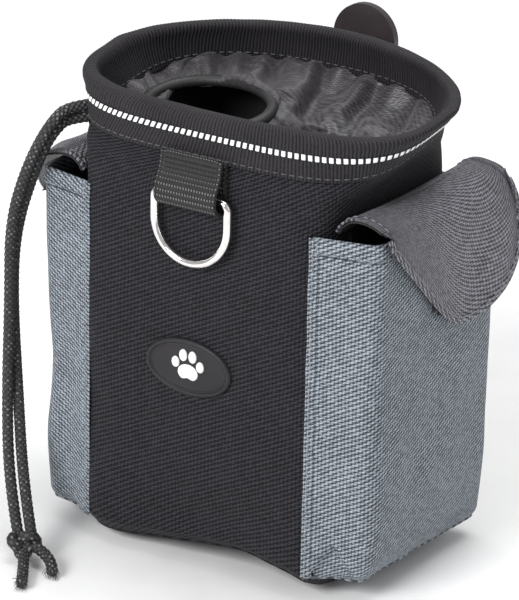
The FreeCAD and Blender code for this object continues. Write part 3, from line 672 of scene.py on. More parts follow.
# --------------------------------------------------- the pouch's own surface
SECTIONS = [
    (0.0, 0.0, 0.0, 0.0, 46.5, 37.0, 36.0, 7.0, 7.0),
    (3.2, 0.0, 0.0, 0.0, 49.3, 42.5, 38.8, 8.0, 8.0),
    (8.0, 0.0, 0.0, 0.0, 50.5, 46.0, 40.0, 8.0, 8.0),
    (131.0, 0.0, 0.0, 0.0, 50.5, 46.0, 40.0, 8.0, 8.0),
    (145.0, 0.0525, 0.7, -0.83, 52.5, 45.2, 39.5, 6.0, 5.0),
    (157.5, 0.15, 3.85, -4.98, 58.85, 39.785, 40.385, 4.0, 2.5),
    (172.0, 0.15, 7.0, -8.3, 67.2, 34.7, 40.7, 3.34, 1.85),
]
LEVELS = [s[0] for s in SECTIONS]
NECK, RIM = 157.5, 172.0
WALL, TAPE = 1.2, 0.9


def section_at(level):
    i = min(max(bisect.bisect_right(LEVELS, level) - 1, 0), len(SECTIONS) - 2)
    a, b = SECTIONS[i], SECTIONS[i + 1]
    t = (level - a[0]) / (b[0] - a[0])
    if i == 3:
        t = t * t * (2 - t)
    return [p + (q - p) * t for p, q in zip(a[1:], b[1:])]


def skin(angle, level, offset=0.0):
    """Point on the pouch's surface, moved out by offset."""
    tilt, x, y, half_x, front, back, power_front, power_back = section_at(level)
    sine, cosine = math.sin(angle), math.cos(angle)
    half_y = (front if sine < 0 else back) + offset
    soft = smoothstep(0.5 - 4 * sine)
    power = power_front * soft + power_back * (1 - soft)
    cx, cy = abs(cosine) / (half_x + offset), abs(sine) / half_y
    r = (cx ** power + cy ** power) ** (-1.0 / power)
    py = y + r * sine
    return Vector((x + r * cosine, py, level + tilt * py))


def even_angles(count, level, first=0.0, last=2 * math.pi):
    """Angles that space points evenly along the outline at a level."""
    fine = 1400
    raw = [first + (last - first) * i / fine for i in range(fine + 1)]
    at = [0.0]
    for a, b in zip(raw, raw[1:]):
        at.append(at[-1] + (skin(b, level) - skin(a, level)).length)
    made = []
    for i in range(count):
        want = at[-1] * i / (count - 1)
        k = min(max(bisect.bisect_right(at, want) - 1, 0), fine - 1)
        share = (want - at[k]) / (at[k + 1] - at[k])
        made.append(raw[k] + (raw[k + 1] - raw[k]) * share)
    return made


# how far the lower front edge is pushed up, along x
FRONT_LIFT = [(-60, 1.2), (-35, 1.2), (-18, 4.2), (3, 7.2), (19, 8.8), (31, 6.8), (40, 4.6),
              (44, 2.2), (47, 0.2), (60, 0.0)]


def front_lift(x):
    total = 0.0
    for shift in (-4.0, 0.0, 4.0):
        at = min(max(x + shift, -59.9), 59.9)
        i = bisect.bisect_right([q[0] for q in FRONT_LIFT], at) - 1
        (x0, z0), (x1, z1) = FRONT_LIFT[i], FRONT_LIFT[i + 1]
        total += z0 + (z1 - z0) * (at - x0) / (x1 - x0)
    return total / 3


def pushed_in(p):
    """The foot of the front, pushed in and up; every layer follows it."""
    if p.y < 0:
        front = smoothstep((-p.y - 12) / 22)
        lift = front_lift(p.x) * front
        height = p.z
        p.y += 0.33 * lift * max(0.0, 1 - height / 55.0) ** 2
        p.z += lift * max(0.0, 1 - height / 34.0) ** 1.5
    return p


def body_point(angle, level, offset=0.0):
    """The wall as cloth: softly uneven, with the foot of the front pushed in and up."""
    p = skin(angle, level, offset)
    calm = smoothstep((153.0 - level) / 12.0)
    badge_calm = 1 - bump(p.x, -1.0, 22) * bump(p.z, 76.0, 15) * (p.y < 0)
    tab_calm = 1 - bump(p.x, 0.8, 15) * bump(p.z, 145.0, 22) * (p.y < 0)
    slack = 1.0 * wobble(p.x, p.y, p.z, 34) + 0.35 * wobble(p.x, p.y, p.z, 13, 2.0)
    creases = 0.5 * wobble(p.x * 2.4 + p.z * 0.5, p.y * 2.4, p.z * 0.7, 26, 5.0)
    amount = (slack + creases) * calm * badge_calm * tab_calm
    if p.y > 0:
        amount = min(amount, 0.0) * 0.7
    side = abs(p.x) > 47
    if side:
        amount = min(0.3, amount) * 0.6
    normal = Vector((p.x / 50.5 ** 2 if side else 0.0, p.y / 46 ** 2, 0.0))
    if normal.length:
        p += normal.normalized() * amount
    bulge = bump(p.x, -52.0, 7) * bump(p.y, -34.0, 12) * bump(level, 146.0, 8)
    p += Vector((-1.5, -0.9, 0.0)) * bulge
    fold = bump(p.x - 0.55 * (150 - p.z), 36.0, 7) * bump(p.z, 132.0, 16) * (p.y < -30)
    p.y += 1.5 * fold
    return pushed_in(p)


PANEL_COLUMNS, PANEL_ROWS = 150, 104
PANEL_FOOT, PANEL_TOP = 8.0, 169.0      # rolled in below the foot, bound at the top


def panel(name, first, last, node):
    """One of the two cloth panels that make the wall."""
    angles = even_angles(PANEL_COLUMNS, 70.0, first, last)
    levels = [1.0, 2.0, 3.2, 4.6, 6.2, PANEL_FOOT]
    levels += [PANEL_FOOT + (PANEL_TOP - PANEL_FOOT) * (i + 1) / PANEL_ROWS
               for i in range(PANEL_ROWS)]
    rows = [[body_point(a, level) for a in angles] for level in levels]
    made = grid(name, rows, "body_cloth")
    thicken(made, WALL)
    return ridden(made, POUCH, node)


panel("front_panel_cloth", math.pi, 2 * math.pi, "front_panel")
panel("back_panel_cloth", 0.0, math.pi, "back_panel")

base_angles = even_angles(200, 0.0)[:-1]
base_rows = []
for inset, level in ((0.75, 3.6), (0.75, 1.6), (0.9, 0.7), (1.5, 0.2)):
    base_rows.append([body_point(a, level, -inset) for a in base_angles])
edge = [body_point(a, 0.0, -2.4) for a in base_angles]
for k in range(1, 17):
    share = 1 - k / 17
    row = []
    for p in edge:
        q = Vector((p.x * share, p.y * share, 0.0))
        inward = (Vector((p.x, p.y, 0.0)) - q).length
        rise = p.z * max(0.0, 1 - inward / 36.0) ** 1.15
        q.z = max(0.3, rise + 0.25 + 0.2 * wobble(q.x, q.y, 0, 17))
        row.append(q)
    base_rows.append(row)
base = grid("base_panel_cloth", base_rows, "body_cloth", closed=True)
base.data.flip_normals()
thicken(base, 1.0, 1.0)
ridden(base, POUCH, "base_panel")

# lining, seen only through the mouth
LINING_FOOT, LINING_TOP = 3.0, 158.0
LINING_ROWS = 44
LINING_DEPTH = WALL + 0.25      # from the wall's outer face to the lining where it lies flat
lining_angles = even_angles(150, 120.0)[:-1]
lining_rows = []
for i in range(LINING_ROWS):
    level = LINING_FOOT + (LINING_TOP - LINING_FOOT) * i / (LINING_ROWS - 1)
    row = []
    for a in lining_angles:
        p = skin(a, level, -LINING_DEPTH)
        crumple = 0.5 + 0.5 * wobble(p.x, p.y, p.z, 16, 8.0)
        inset = LINING_DEPTH + 2.2 * crumple * smoothstep((152 - level) / 20)
        row.append(pushed_in(skin(a, level, -inset)))
    lining_rows.append(row)
lining = grid("lining_wall_cloth", lining_rows, "lining_cloth", closed=True)
thicken(lining, 0.35)
ridden(lining, POUCH, "lining_wall")
floor_rows = [[Vector((0, 0, 3.4)).lerp(pushed_in(skin(a, LINING_FOOT, -WALL - 0.6)), k / 12)
               + Vector((0, 0, 0.5 * wobble(40 * math.cos(a) * k, 40 * math.sin(a) * k, 0, 90)))
               for a in lining_angles] for k in range(1, 13)]
lining_floor = grid("lining_base_cloth", floor_rows, "lining_cloth", closed=True)
thicken(lining_floor, 0.4)
ridden(lining_floor, POUCH, "lining_base")

# ------------------------------------------------- mouth: binding and stripe
TAPE_LEVEL = 168.0      # where the tape's length round the mouth is taken
RIM_X, RIM_Y = 7.0, -8.3
RIB_RELIEF = (-0.20, 0.02, 0.14, 0.02)
rim_perimeter = 0.0
coarse = even_angles(400, TAPE_LEVEL)
for a, b in zip(coarse, coarse[1:]):
    rim_perimeter += (skin(b, TAPE_LEVEL, TAPE) - skin(a, TAPE_LEVEL, TAPE)).length
ribs = round(rim_perimeter / RIB)
tape_angles = even_angles(ribs * len(RIB_RELIEF) + 1, TAPE_LEVEL)[:-1]
BINDING = [(0.10, 157.7), (0.95, 157.5), (1.0, 158.6), (0.9, 161.0), (0.9, 164.0), (0.95, 167.0),
           (1.2, 168.6), (1.45, 169.9), (1.35, 171.2), (0.7, 172.2), (-0.4, 172.8), (-1.5, 172.8),
           (-2.6, 172.2), (-3.3, 171.1), (-3.5, 169.8), (-3.25, 168.4), (-2.95, 166.5),
           (-2.85, 163.5), (-2.9, 160.5), (-3.0, 158.2), (-2.9, 157.3), (-2.0, 157.5),
           (-1.95, 162.0), (-1.9, 167.8), (0.05, 167.8), (0.05, 162.0)]
tape_rows = []
for offset, level in BINDING:
    outside = offset > 0.4 or offset < -2.3
    level = min(level, RIM + (level - RIM) * 0.35)
    row = []
    for j, a in enumerate(tape_angles):
        p = skin(a, min(level, RIM), offset)
        soft = 0.22 * wobble(p.x, p.y, p.z * 1.5, 9, 4.0) + 0.2 * wobble(p.x, p.y, p.z, 24, 9.0)
        relief = (RIB_RELIEF[j % len(RIB_RELIEF)] + soft) if outside or level > 171 else 0.0
        rim = Vector((p.x - RIM_X, (p.y - RIM_Y) * 1.6, 0.0)).normalized()
        sign = -1.0 if offset < -1.0 else 1.0
        p += rim * relief * sign
        p.z += max(0.0, level - 171.0) * 0.3 + (0.5 * soft if level > 171 else 0.0)
        if offset < -2.3 and level < 161:
            p.z += 1.3 * wobble(p.x, p.y, 0, 11, 6.0)
        row.append(p)
    tape_rows.append(row)
tape = grid("rim_binding", tape_rows, "ribbed_tape", closed=True, ring=True,
            u_step=RIB / len(RIB_RELIEF))
ridden(tape, POUCH, "rim_tape")
for obj_name, where in (("rim_binding_stitch", 158.9), ("rim_binding_stitch_inner", 159.6)):
    outer = obj_name.endswith("stitch")
    shift = 1.0 if outer else -3.0
    line = [skin(a, where, shift) for a in tape_angles[::6]] + [skin(tape_angles[0], where, shift)]
    facing_out = [Vector((p.x - 5, (p.y + 6) * 1.7, 0)).normalized() * (1 if outer else -1)
                  for p in line]
    ridden(stitches(obj_name, line, facing_out, "thread_black", 2.0, 1.1, 0.2,
                    slot="ribbed_tape", lift=0.12), POUCH)

stripe_angles = tape_angles[::2]
stripe_rows = [[skin(a, level, offset) for a in stripe_angles] for offset, level in
               ((0.9, 164.3), (1.12, 164.35), (1.18, 164.6), (1.18, 166.4), (1.12, 166.6),
                (0.9, 166.65))]
stripe = grid("reflective_band", stripe_rows, "plain_tape", closed=True, ring=True)
ridden(stripe, POUCH, "reflective_stripe")
DASH_PITCH = 2.42
dash_count = round(rim_perimeter / DASH_PITCH)
dash_angles = even_angles(dash_count * 8 + 1, 165.5)
dash_v, dash_f = [], []
for d in range(dash_count):
    span = [dash_angles[d * 8 + k] for k in (0, 1, 2, 3, 4, 5)]
    first = len(dash_v)
    profile = ((1.12, 164.55), (1.34, 164.62), (1.42, 164.85), (1.42, 166.15), (1.34, 166.38),
               (1.12, 166.45))
    for k, a in enumerate(span):
        drop = 0.16 if k in (0, len(span) - 1) else 0.0
        for offset, level in profile:
            dash_v.append(skin(a, level, offset - drop))
    rows, across = len(span), len(profile)
    for i in range(rows - 1):
        for j in range(across - 1):
            q = first + i * across + j
            dash_f.append([q, q + across, q + across + 1, q + 1])
        dash_f.append([first + i * across + across - 1, first + (i + 1) * across + across - 1,
                       first + (i + 1) * across, first + i * across])
    dash_f.append([first + j for j in range(across)])
    dash_f.append([first + (rows - 1) * across + j for j in range(across)][::-1])
dashes = new_piece("reflective_dashes", dash_v, dash_f, "reflective")
ridden(dashes, POUCH)

# ----------------------------------------------------------- inner collar
HOLE = Vector((-22.3, -5.0, 0.0))
HOLE_X, HOLE_Y = 23.0, 19.0
HOLE_LEVEL = 154.3
HOLE_POWER = 2.7        # 2 would be an ellipse; more is squarer
HEM_RADIUS = 2.8


def hole_point(angle, grow=0.0, rise=0.0):
    """Point on the edge of the collar's opening, moved out by grow and up by rise."""
    c, d = math.cos(angle), math.sin(angle)
    square = (abs(c) ** HOLE_POWER + abs(d) ** HOLE_POWER) ** (-1.0 / HOLE_POWER)
    loose = 1.0 + 0.05 * math.sin(3 * angle + 0.6) + 0.035 * math.sin(7 * angle + 2.0)
    x = HOLE.x + (HOLE_X * loose * square * 0.93 + grow) * c
    y = HOLE.y + (HOLE_Y * loose * square * 0.95 + grow) * d
    wave = 1.3 * math.sin(2 * angle - 0.5) + 0.8 * math.sin(5 * angle + 1.0)
    return Vector((x, y, HOLE_LEVEL - 0.6 + 0.15 * y + rise + wave + 2.2 * max(0.0, d) ** 2))


COLLAR_COLUMNS, COLLAR_ROWS = 112, 20
COLLAR_CLOTH = 0.25
COLLAR_FRAMES = 25
COLLAR_SETTINGS = {     # shrink_min below zero gives more cloth than the opening needs
    "vertex_group_mass": "pins", "shrink_min": -0.24, "quality": 6, "mass": 0.05,
    "tension_stiffness": 20, "compression_stiffness": 20, "shear_stiffness": 6,
    "bending_stiffness": 2.5, "air_damping": 2,
}
neck_angles = even_angles(COLLAR_COLUMNS + 1, NECK)[:-1]
collar_rows = []
for i in range(COLLAR_ROWS):
    t = i / (COLLAR_ROWS - 1)
    row = []
    for j, a in enumerate(neck_angles):
        outer_point = skin(a, 158.6, -2.35)
        inner_point = hole_point(2 * math.pi * j / COLLAR_COLUMNS, HEM_RADIUS - 1.2, 0.3)
        p = outer_point.lerp(inner_point, t)
        arch = math.sin(math.pi * t)
        p.z += arch * (5.0 * wobble(p.x, p.y, 0, 19, 1.0) + 1.6 * wobble(p.x, p.y, 0, 9, 3.0) - 1.0)
        row.append(p)
    collar_rows.append(row)
collar = grid("drawstring_collar_cloth", collar_rows, "collar_nylon", closed=True)
pins = collar.vertex_groups.new(name="pins")
held = list(range(COLLAR_COLUMNS)) + list(range((COLLAR_ROWS - 1) * COLLAR_COLUMNS,
                                                COLLAR_ROWS * COLLAR_COLUMNS))
pins.add(held, 1.0, "REPLACE")
cloth = collar.modifiers.new("cloth", "CLOTH")
for key, value in COLLAR_SETTINGS.items():
    setattr(cloth.settings, key, value)
cloth.settings.effector_weights.gravity = 0.25
cloth.collision_settings.use_self_collision = False
cloth.collision_settings.use_collision = False
for step in range(1, COLLAR_FRAMES + 1):
    bpy.context.scene.frame_set(step)
settle(collar)
bpy.context.scene.frame_set(1)

COLLAR_LOW = 138.0      # the crumpled cloth sags to about here
RIM_ROOM = 5.0          # and stays this far under the rim, which is lower at the front
EASE = 3.0              # both limits take hold over this height
for vertex in collar.data.vertices:
    z = vertex.co.z / MM
    ceiling = RIM + 0.15 * vertex.co.y / MM - RIM_ROOM
    if z > ceiling - EASE:
        z = ceiling - EASE + EASE * math.tanh((z - ceiling + EASE) / EASE)
    if z < COLLAR_LOW:
        z = COLLAR_LOW - EASE * math.tanh((COLLAR_LOW - z) / EASE)
    vertex.co.z = z * MM
smooth = collar.modifiers.new("smooth", "SUBSURF")
smooth.levels = 2
settle(collar)
thicken(collar, COLLAR_CLOTH)
ridden(collar, POUCH, "drawstring_collar")

HEM_COLUMNS, HEM_AROUND = 300, 18
GATHERS = 46            # folds of cloth round the opening
hem_rows = []
for j in range(HEM_COLUMNS):
    a = 2 * math.pi * j / HEM_COLUMNS
    here = hole_point(a)
    ahead = (hole_point(a + 0.01) - here).normalized()
    out = ahead.cross(Vector((0, 0, 1))).normalized()
    over = out.cross(ahead)
    gather = math.sin(GATHERS * a + 2.0 * math.sin(3 * a)) * 0.5
    gather += 0.5 * wobble(here.x, here.y, 0, 2.6)
    row = []
    for k in range(HEM_AROUND):
        angle = 2 * math.pi * k / HEM_AROUND
        r = HEM_RADIUS - 1.0 + 0.35 * gather * (0.6 + 0.4 * math.sin(angle))
        row.append(here + out * math.cos(angle) * r + over * math.sin(angle) * r * 0.92)
    hem_rows.append(row)
hem = swapped_grid("collar_hem_gathered", hem_rows, "collar_nylon", True)
ridden(hem, POUCH, "collar_hem")

# --------------------------------------------------------- D-ring and its tab
TAB_LEFT, TAB_RIGHT = -11.2, 12.8
BAR = Vector((0.8, -49.15, 138.5))
TAB_LOOP = 3.05         # from the bar's centre to the face of the webbing round it
TAB_STEP = 0.19
TAB_CLOTH = 1.15
TAB_SELVEDGE = 1.3      # flat border beside the ribs
wall_y = skin(1.5 * math.pi, 150.0).y
outer_line = [(wall_y - 2.5, 152.0), (wall_y - 2.9, 149.6), (-49.0, 146.6), (-50.3, 143.9),
              (-51.6, 141.6)]
loop = [(BAR.y + TAB_LOOP * math.cos(t), BAR.z + TAB_LOOP * math.sin(t))
        for t in [math.radians(d) for d in range(170, 366, 15)]]
inner_line = [(-46.9, 141.5), (-47.2, 144.0), (wall_y - 1.2, 148.5), (wall_y - 1.0, 152.0)]
section = Track([(y, z, 0.0) for y, z in spline(outer_line + loop + inner_line, 6)])
steps = round(section.length / TAB_STEP)
tab_rows = []
for i in range(steps + 1):
    s = section.length * i / steps
    p = section(s)
    d = section.direction(s)
    normal = Vector((d.y, -d.x))
    ribs_here = 0.26 * abs(math.sin(math.pi * s / TAB_RIB)) ** 0.7
    row = []
    for j in range(41):
        x = TAB_LEFT + (TAB_RIGHT - TAB_LEFT) * j / 40
        edge_d = min(x - TAB_LEFT, TAB_RIGHT - x)
        relief = ribs_here if edge_d > TAB_SELVEDGE else 0.12
        relief += 0.12 if 0.3 < edge_d < TAB_SELVEDGE else 0.0
        row.append(Vector((x, p.x + normal.x * relief, p.y + normal.y * relief)))
    tab_rows.append(row)
tab = grid("d_ring_tab_webbing", tab_rows, "webbing")
thicken(tab, TAB_CLOTH)
ridden(tab, POUCH, "d_ring_tab")
for x_edge in (TAB_LEFT + 0.8, TAB_RIGHT - 0.8):
    line, faces_out = [], []
    for i in range(0, 60):
        s = 2.0 + i * 0.25
        p, d = section(s), section.direction(s)
        line.append(Vector((x_edge, p.x, p.y)) + Vector((0, d.y, -d.x)) * 0.25)
        faces_out.append(Vector((0, d.y, -d.x)))
    side = "left" if x_edge < 0 else "right"
    ridden(stitches("d_ring_tab_stitch_" + side, line, faces_out, "thread_black", 1.1, 0.7, 0.24,
                    slot="webbing"), POUCH)

RING_HALF, RING_SIDE, RING_WIRE, CORNER = 14.6, 9.0, 1.5, 2.4
ring_line = []
for t in range(0, 91, 10):
    a = math.radians(90 - t)
    ring_line.append((RING_HALF - CORNER + CORNER * math.cos(a), -CORNER + CORNER * math.sin(a)))
for t in range(0, 181, 4):
    a = math.radians(-t)
    ring_line.append((RING_HALF * math.cos(a), -RING_SIDE + RING_HALF * math.sin(a)))
for t in range(0, 91, 10):
    a = math.radians(180 - t)
    ring_line.append((-RING_HALF + CORNER + CORNER * math.cos(a), -CORNER + CORNER * math.sin(a)))
ring_points = [Vector((BAR.x + x, BAR.y, BAR.z + z)) for x, z in ring_line]
ring_points = resampled(ring_points + [ring_points[0]], 0.6)[:-1]
ring = tube("d_ring_chrome", ring_points, RING_WIRE, "ring_chrome", around=28, closed=True)
ridden(ring, "d_ring", "d_ring")

# --------------------------------------------------------------------- badge
BADGE = Vector((-1.0, -46.0, 76.0))
BADGE_X, BADGE_Z = 17.3, 10.2
badge_rows = []
for inset, height in ((0.0, -0.4), (0.0, 0.9), (0.18, 1.3), (0.5, 1.6), (0.95, 1.75), (1.35, 1.68),
                      (1.6, 1.45), (1.7, 1.12), (1.95, 1.02), (2.25, 1.05), (2.4, 1.16),
                      (2.65, 1.17), (2.85, 1.05), (4.0, 1.0), (7.0, 1.0), (9.4, 1.0), (10.15, 1.0)):
    row = []
    for j in range(144):
        a = 2 * math.pi * j / 144
        x = max(0.02, BADGE_X - inset) * math.cos(a)
        z = max(0.02, BADGE_Z - inset) * math.sin(a)
        if inset > 4:
            x *= max(0.02, 1 - (inset - 4) / 6.2) * 13.3 / max(0.02, BADGE_X - inset)
        row.append(Vector((BADGE.x + x, BADGE.y - height, BADGE.z + z)))
    badge_rows.append(row)
badge = grid("badge_oval", badge_rows, "badge_rubber", closed=True)
ridden(badge, POUCH, "badge")

pads = [(0.0, -1.9, 4.1, 3.1), (-5.0, 1.2, 1.55, 2.0), (-1.9, 4.2, 1.6, 2.2), (1.9, 4.2, 1.6, 2.2),
        (5.0, 1.2, 1.55, 2.0)]
pad_v, pad_f = [], []
for px, pz, hx, hz in pads:
    first = len(pad_v)
    around, rings = 40, 6
    for k in range(rings + 1):
        t = math.pi / 2 * k / rings
        shrink, lift = math.cos(t) ** 0.5 if k < rings else 0.01, math.sin(t) ** 0.7
        for j in range(around):
            a = 2 * math.pi * j / around
            x, z = hx * shrink * math.cos(a), hz * shrink * math.sin(a)
            if hx > 3:
                z -= 0.55 * hz * bump(x, 0, 1.6) * (1 if math.sin(a) < 0 else 0) * -shrink * 0.7
            pad_v.append(Vector((BADGE.x + px + x, BADGE.y - 0.9 - 0.9 * lift, BADGE.z + pz + z)))
    for k in range(rings):
        for j in range(around):
            m = (j + 1) % around
            pad_f.append([first + k * around + j, first + k * around + m,
                          first + (k + 1) * around + m, first + (k + 1) * around + j])
    pad_f.append([first + rings * around + j for j in range(around)])
    pad_f.append([first + j for j in range(around)][::-1])
emblem = new_piece("badge_paw_emblem", pad_v, pad_f, "emblem_rubber")
ridden(emblem, POUCH, "badge_emblem")


# ------------------------------------------------------------------- pockets
POCKET_LOW, POCKET_HIGH = 8.0, 132.0
POCKET_FACE = 68.6      # outer face of the pocket, from the middle of the pouch
POCKET_COLUMNS = 104
POCKET_CLOTH = 0.9


def pocket_plan(z, inward=0.0, sign=1):
    """Outline of a pocket at a height: front gusset, outer face, back gusset."""
    foot = smoothstep((38.0 - z) / 30.0)
    tuck = max(0.0, (20.0 - z) / 12.0) ** 2 * (1 if sign > 0 else 0)
    x_fold = POCKET_FACE - 1.5 * foot - inward
    if sign < 0:
        x_fold += 1.0 * bump(z, 22.0, 14.0) - 1.8 * bump(z, 58.0, 16.0)
    y_front = -38.7 + 0.8 * foot + inward
    y_back = 40.3 - 0.6 * foot - inward
    radius = 5.0 + 2.0 * bump(z, 60, 40) + 1.5 * tuck
    corners = [Vector((45.2, -43.75 + inward, z)),
               Vector((x_fold - 4.5 * tuck, y_front + tuck, z)),
               Vector((x_fold, y_back, z)), Vector((45.0, 37.9 - inward, z))]
    line = [corners[0], corners[0].lerp(corners[1], 0.35)]
    for before, corner, after in zip(corners, corners[1:], corners[2:]):
        one = (before - corner).normalized()
        two = (after - corner).normalized()
        for k in range(9):
            t = k / 8
            a, b = corner + one * radius, corner + two * radius
            line.append(a * (1 - t) ** 2 + corner * 2 * t * (1 - t) + b * t * t)
    line += [corners[3].lerp(corners[2], 0.35), corners[3]]
    return line


def pocket_row(z, columns, inward=0.0, sign=1, calm=1.0):
    track = Track(pocket_plan(z, inward, sign))
    foot_roll = max(0.0, 1 - (z - POCKET_LOW) / 3.5)
    row = []
    for j in range(columns):
        share = j / (columns - 1)
        s = track.length * share
        p = track(s)
        d = track.direction(s, 2.0)
        n = Vector((d.y, -d.x, 0.0))
        middle = math.sin(math.pi * min(1, max(0, (share - 0.02) / 0.96)))
        height = (z - POCKET_LOW) / (POCKET_HIGH - POCKET_LOW)
        seed = 20.0 if sign > 0 else 31.0
        soft = 0.8 * wobble(p.x, p.y, p.z, 27, seed) + 0.4 * wobble(p.x, p.y, p.z * 0.8, 11, seed)
        drape = 0.5 * wobble(p.x * 1.8, p.y * 1.8, z * 0.35, 17, seed + 3)
        amount = (soft + drape) * middle * smoothstep(6 * middle) * calm
        face = bump(p.y, 2.0, 28) * (p.x > 64)
        amount += 1.1 * face * math.sin(math.pi * height) - 1.0 * face * bump(height, 0.55, 0.2)
        under_tape = (smoothstep((p.y + 10.0) / 5.0) * smoothstep((35.5 - p.y) / 5.0)
                      * smoothstep((z - 92.5) / 5.0) * smoothstep((122.5 - z) / 5.0))
        amount += (min(amount, -0.1) - amount) * under_tape * (p.x > 64)
        gusset = smoothstep((-p.y - 36.5) / 2.5)
        amount -= 1.3 * gusset * bump(p.x, 56, 6) * smoothstep((100 - z) / 50)
        if calm and sign > 0 and p.y < -30:
            peak = POCKET_LOW + 14.0 * (1 - abs(p.x - 54.5) / 9.0)
            amount -= 2.0 * smoothstep((peak - z) / 1.3 + 0.5) * smoothstep((63.0 - p.x) / 2.0)
        p = p + n * amount
        p -= n * 1.5 * foot_roll ** 2 * smoothstep(5 * middle)
        row.append(Vector((sign * p.x, p.y, p.z)))
    return row


for side, sign in (("left", -1), ("right", 1)):
    heights = [8.0, 8.6, 9.4, 10.4, 11.6] + [13.0 + 119.0 * i / 84 for i in range(85)]
    rows = [pocket_row(z, POCKET_COLUMNS, sign=sign) for z in heights]
    cloth = grid(side + "_pocket_cloth", rows, "pocket_cloth", flip=sign < 0)
    thicken(cloth, POCKET_CLOTH)
    ridden(cloth, POUCH, side + "_pocket_panel")

    # floor of the pocket, from its rolled foot to the wall
    edge = pocket_row(8.25, POCKET_COLUMNS, sign=sign)
    floor_rows = []
    for k in range(13):
        t = k / 12
        row = []
        for j, p in enumerate(edge):
            y_in = -40.0 + 76.0 * j / (POCKET_COLUMNS - 1)
            q = p.lerp(Vector((sign * 48.6, y_in, 8.0)), t)
            q.z = 8.25 + 0.7 * math.sin(math.pi * t) * (0.6 + wobble(q.x, q.y, 0, 12))
            row.append(q)
        floor_rows.append(row)
    floor_cloth = grid(side + "_pocket_base_cloth", floor_rows, "pocket_cloth",
                       flip=sign < 0)
    thicken(floor_cloth, 0.8)
    ridden(floor_cloth, POUCH, side + "_pocket_base")

    # folded and stitched mouth
    hem_section = [(-0.40, 126.3), (-0.50, 127.5), (-0.52, 129.5), (-0.45, 131.2), (-0.1, 132.1),
                   (0.5, 132.35), (1.2, 132.1), (1.55, 131.2), (1.6, 128.5), (1.55, 125.4),
                   (1.05, 125.2), (1.0, 128.0), (0.95, 131.2), (0.0, 131.3), (-0.02, 128.0)]
    hem_rows = [pocket_row(z, POCKET_COLUMNS, inward, sign) for inward, z in hem_section]
    mouth = grid(side + "_pocket_mouth_hem_cloth", hem_rows, "pocket_cloth",
                 ring=True, flip=sign < 0)
    ridden(mouth, POUCH, side + "_pocket_mouth_hem")
    line = pocket_row(127.3, POCKET_COLUMNS, -0.52, sign)
    normals = []
    for j in range(POCKET_COLUMNS):
        d = line[min(j + 1, POCKET_COLUMNS - 1)] - line[max(j - 1, 0)]
        normals.append(Vector((d.y, -d.x, 0.0)).normalized() * sign)
    ridden(stitches(side + "_pocket_mouth_stitch", line, normals, "thread_grey", 2.1, 0.9, 0.2,
                    slot="pocket_cloth", lift=0.08), POUCH)

    # the two side seams, folded flat on the wall and topstitched
    for where, index, step in (("front", 0, 1), ("back", POCKET_COLUMNS - 1, -1)):
        seam_rows = []
        centre_line = []
        for z in [9.0 + 123.0 * i / 70 for i in range(71)]:
            row = pocket_row(z, POCKET_COLUMNS, sign=sign, calm=0.0)
            a, b = row[index], row[index + 3 * step]
            along = (b - a).normalized()
            out = Vector((0, -1 if where == "front" else 1, 0))
            waver = 0.25 * wobble(0, z, 0, 9, 7.0)
            strip = [a - along * (1.1 + waver) - out * 0.2, a - along * (1.0 + waver) + out * 0.30,
                     a - along * 0.3 + out * 0.62, a + along * 1.4 + out * 0.60,
                     a + along * 2.3 + out * 0.42, a + along * 2.6 - out * 0.2]
            seam_rows.append(strip)
            centre_line.append(a + along * 0.55 + out * 0.62)
        flip = (sign > 0) == (where == "front")
        seam = grid(side + "_pocket_seam_" + where, seam_rows, "pocket_cloth",
                    flip=not flip)
        thicken(seam, 0.3)
        ridden(seam, POUCH)
        out = Vector((0, -1 if where == "front" else 1, 0))
        ridden(stitches(side + "_pocket_seam_stitch_" + where, centre_line,
                        [out] * len(centre_line), **TOPSTITCH), POUCH)

    # loop half of the touch fastener, under the flap's tongue
    low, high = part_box(side + "_pocket_loop_tape")
    ys = [low[1] / MM + (high[1] - low[1]) / MM * i / 40 for i in range(41)]
    zs = [low[2] / MM + (high[2] - low[2]) / MM * i / 26 for i in range(27)]
    rows = []
    for i, z in enumerate(zs):
        row = []
        for j, y in enumerate(ys):
            edge_d = min(i, 26 - i, j, 40 - j)
            pile = 0.75 + 0.28 * wobble(y * 3, z * 3, 0, 2.2, 3.0) if edge_d > 1 else 0.45
            row.append(Vector((sign * (POCKET_FACE + (pile if edge_d else 0.0)), y, z)))
        rows.append(row)
    loop_tape = grid(side + "_pocket_loop_pile", rows, "fastener", flip=sign < 0)
    thicken(loop_tape, 0.4)
    ridden(loop_tape, POUCH, side + "_pocket_loop_tape")


# --------------------------------------------------------------------- flaps
FLAP_FRONT, FLAP_BACK = -38.5, 40.0
TONGUE = spline([(-38.5, 0.0), (-37.6, 4.0), (-31.0, 10.2), (-22.0, 18.8), (-14.0, 26.3),
                 (-6.8, 33.0), (0.2, 38.9), (7.7, 42.9), (15.0, 44.6), (22.4, 44.0),
                 (29.8, 41.4), (36.9, 36.6), (41.0, 30.0), (42.6, 22.0), (41.8, 12.0),
                 (40.3, 4.0), (40.0, 0.0)], 6)
PROFILE = {
    "right": [(51.6, 133.4), (53.2, 136.2), (56.4, 138.4), (60.2, 139.0), (64.2, 138.4),
              (67.7, 136.9), (70.2, 134.3), (71.3, 130.6), (71.6, 126.0), (71.4, 112.0),
              (70.9, 100.0), (71.2, 88.0)],
    "left": [(51.6, 133.4), (53.2, 136.2), (56.4, 138.4), (60.2, 139.0), (64.4, 138.6),
             (68.2, 137.2), (71.4, 134.9), (75.0, 131.2), (80.6, 125.2), (87.6, 117.2),
             (94.2, 109.4), (99.8, 101.0)],
}
FLAP_CLOTH, FLAP_LINING = 0.85, 0.35
OUTER_LIFT = 0.35       # outer face of the flap's cloth over its profile
LINING_LIFT = OUTER_LIFT - FLAP_CLOTH - 0.04
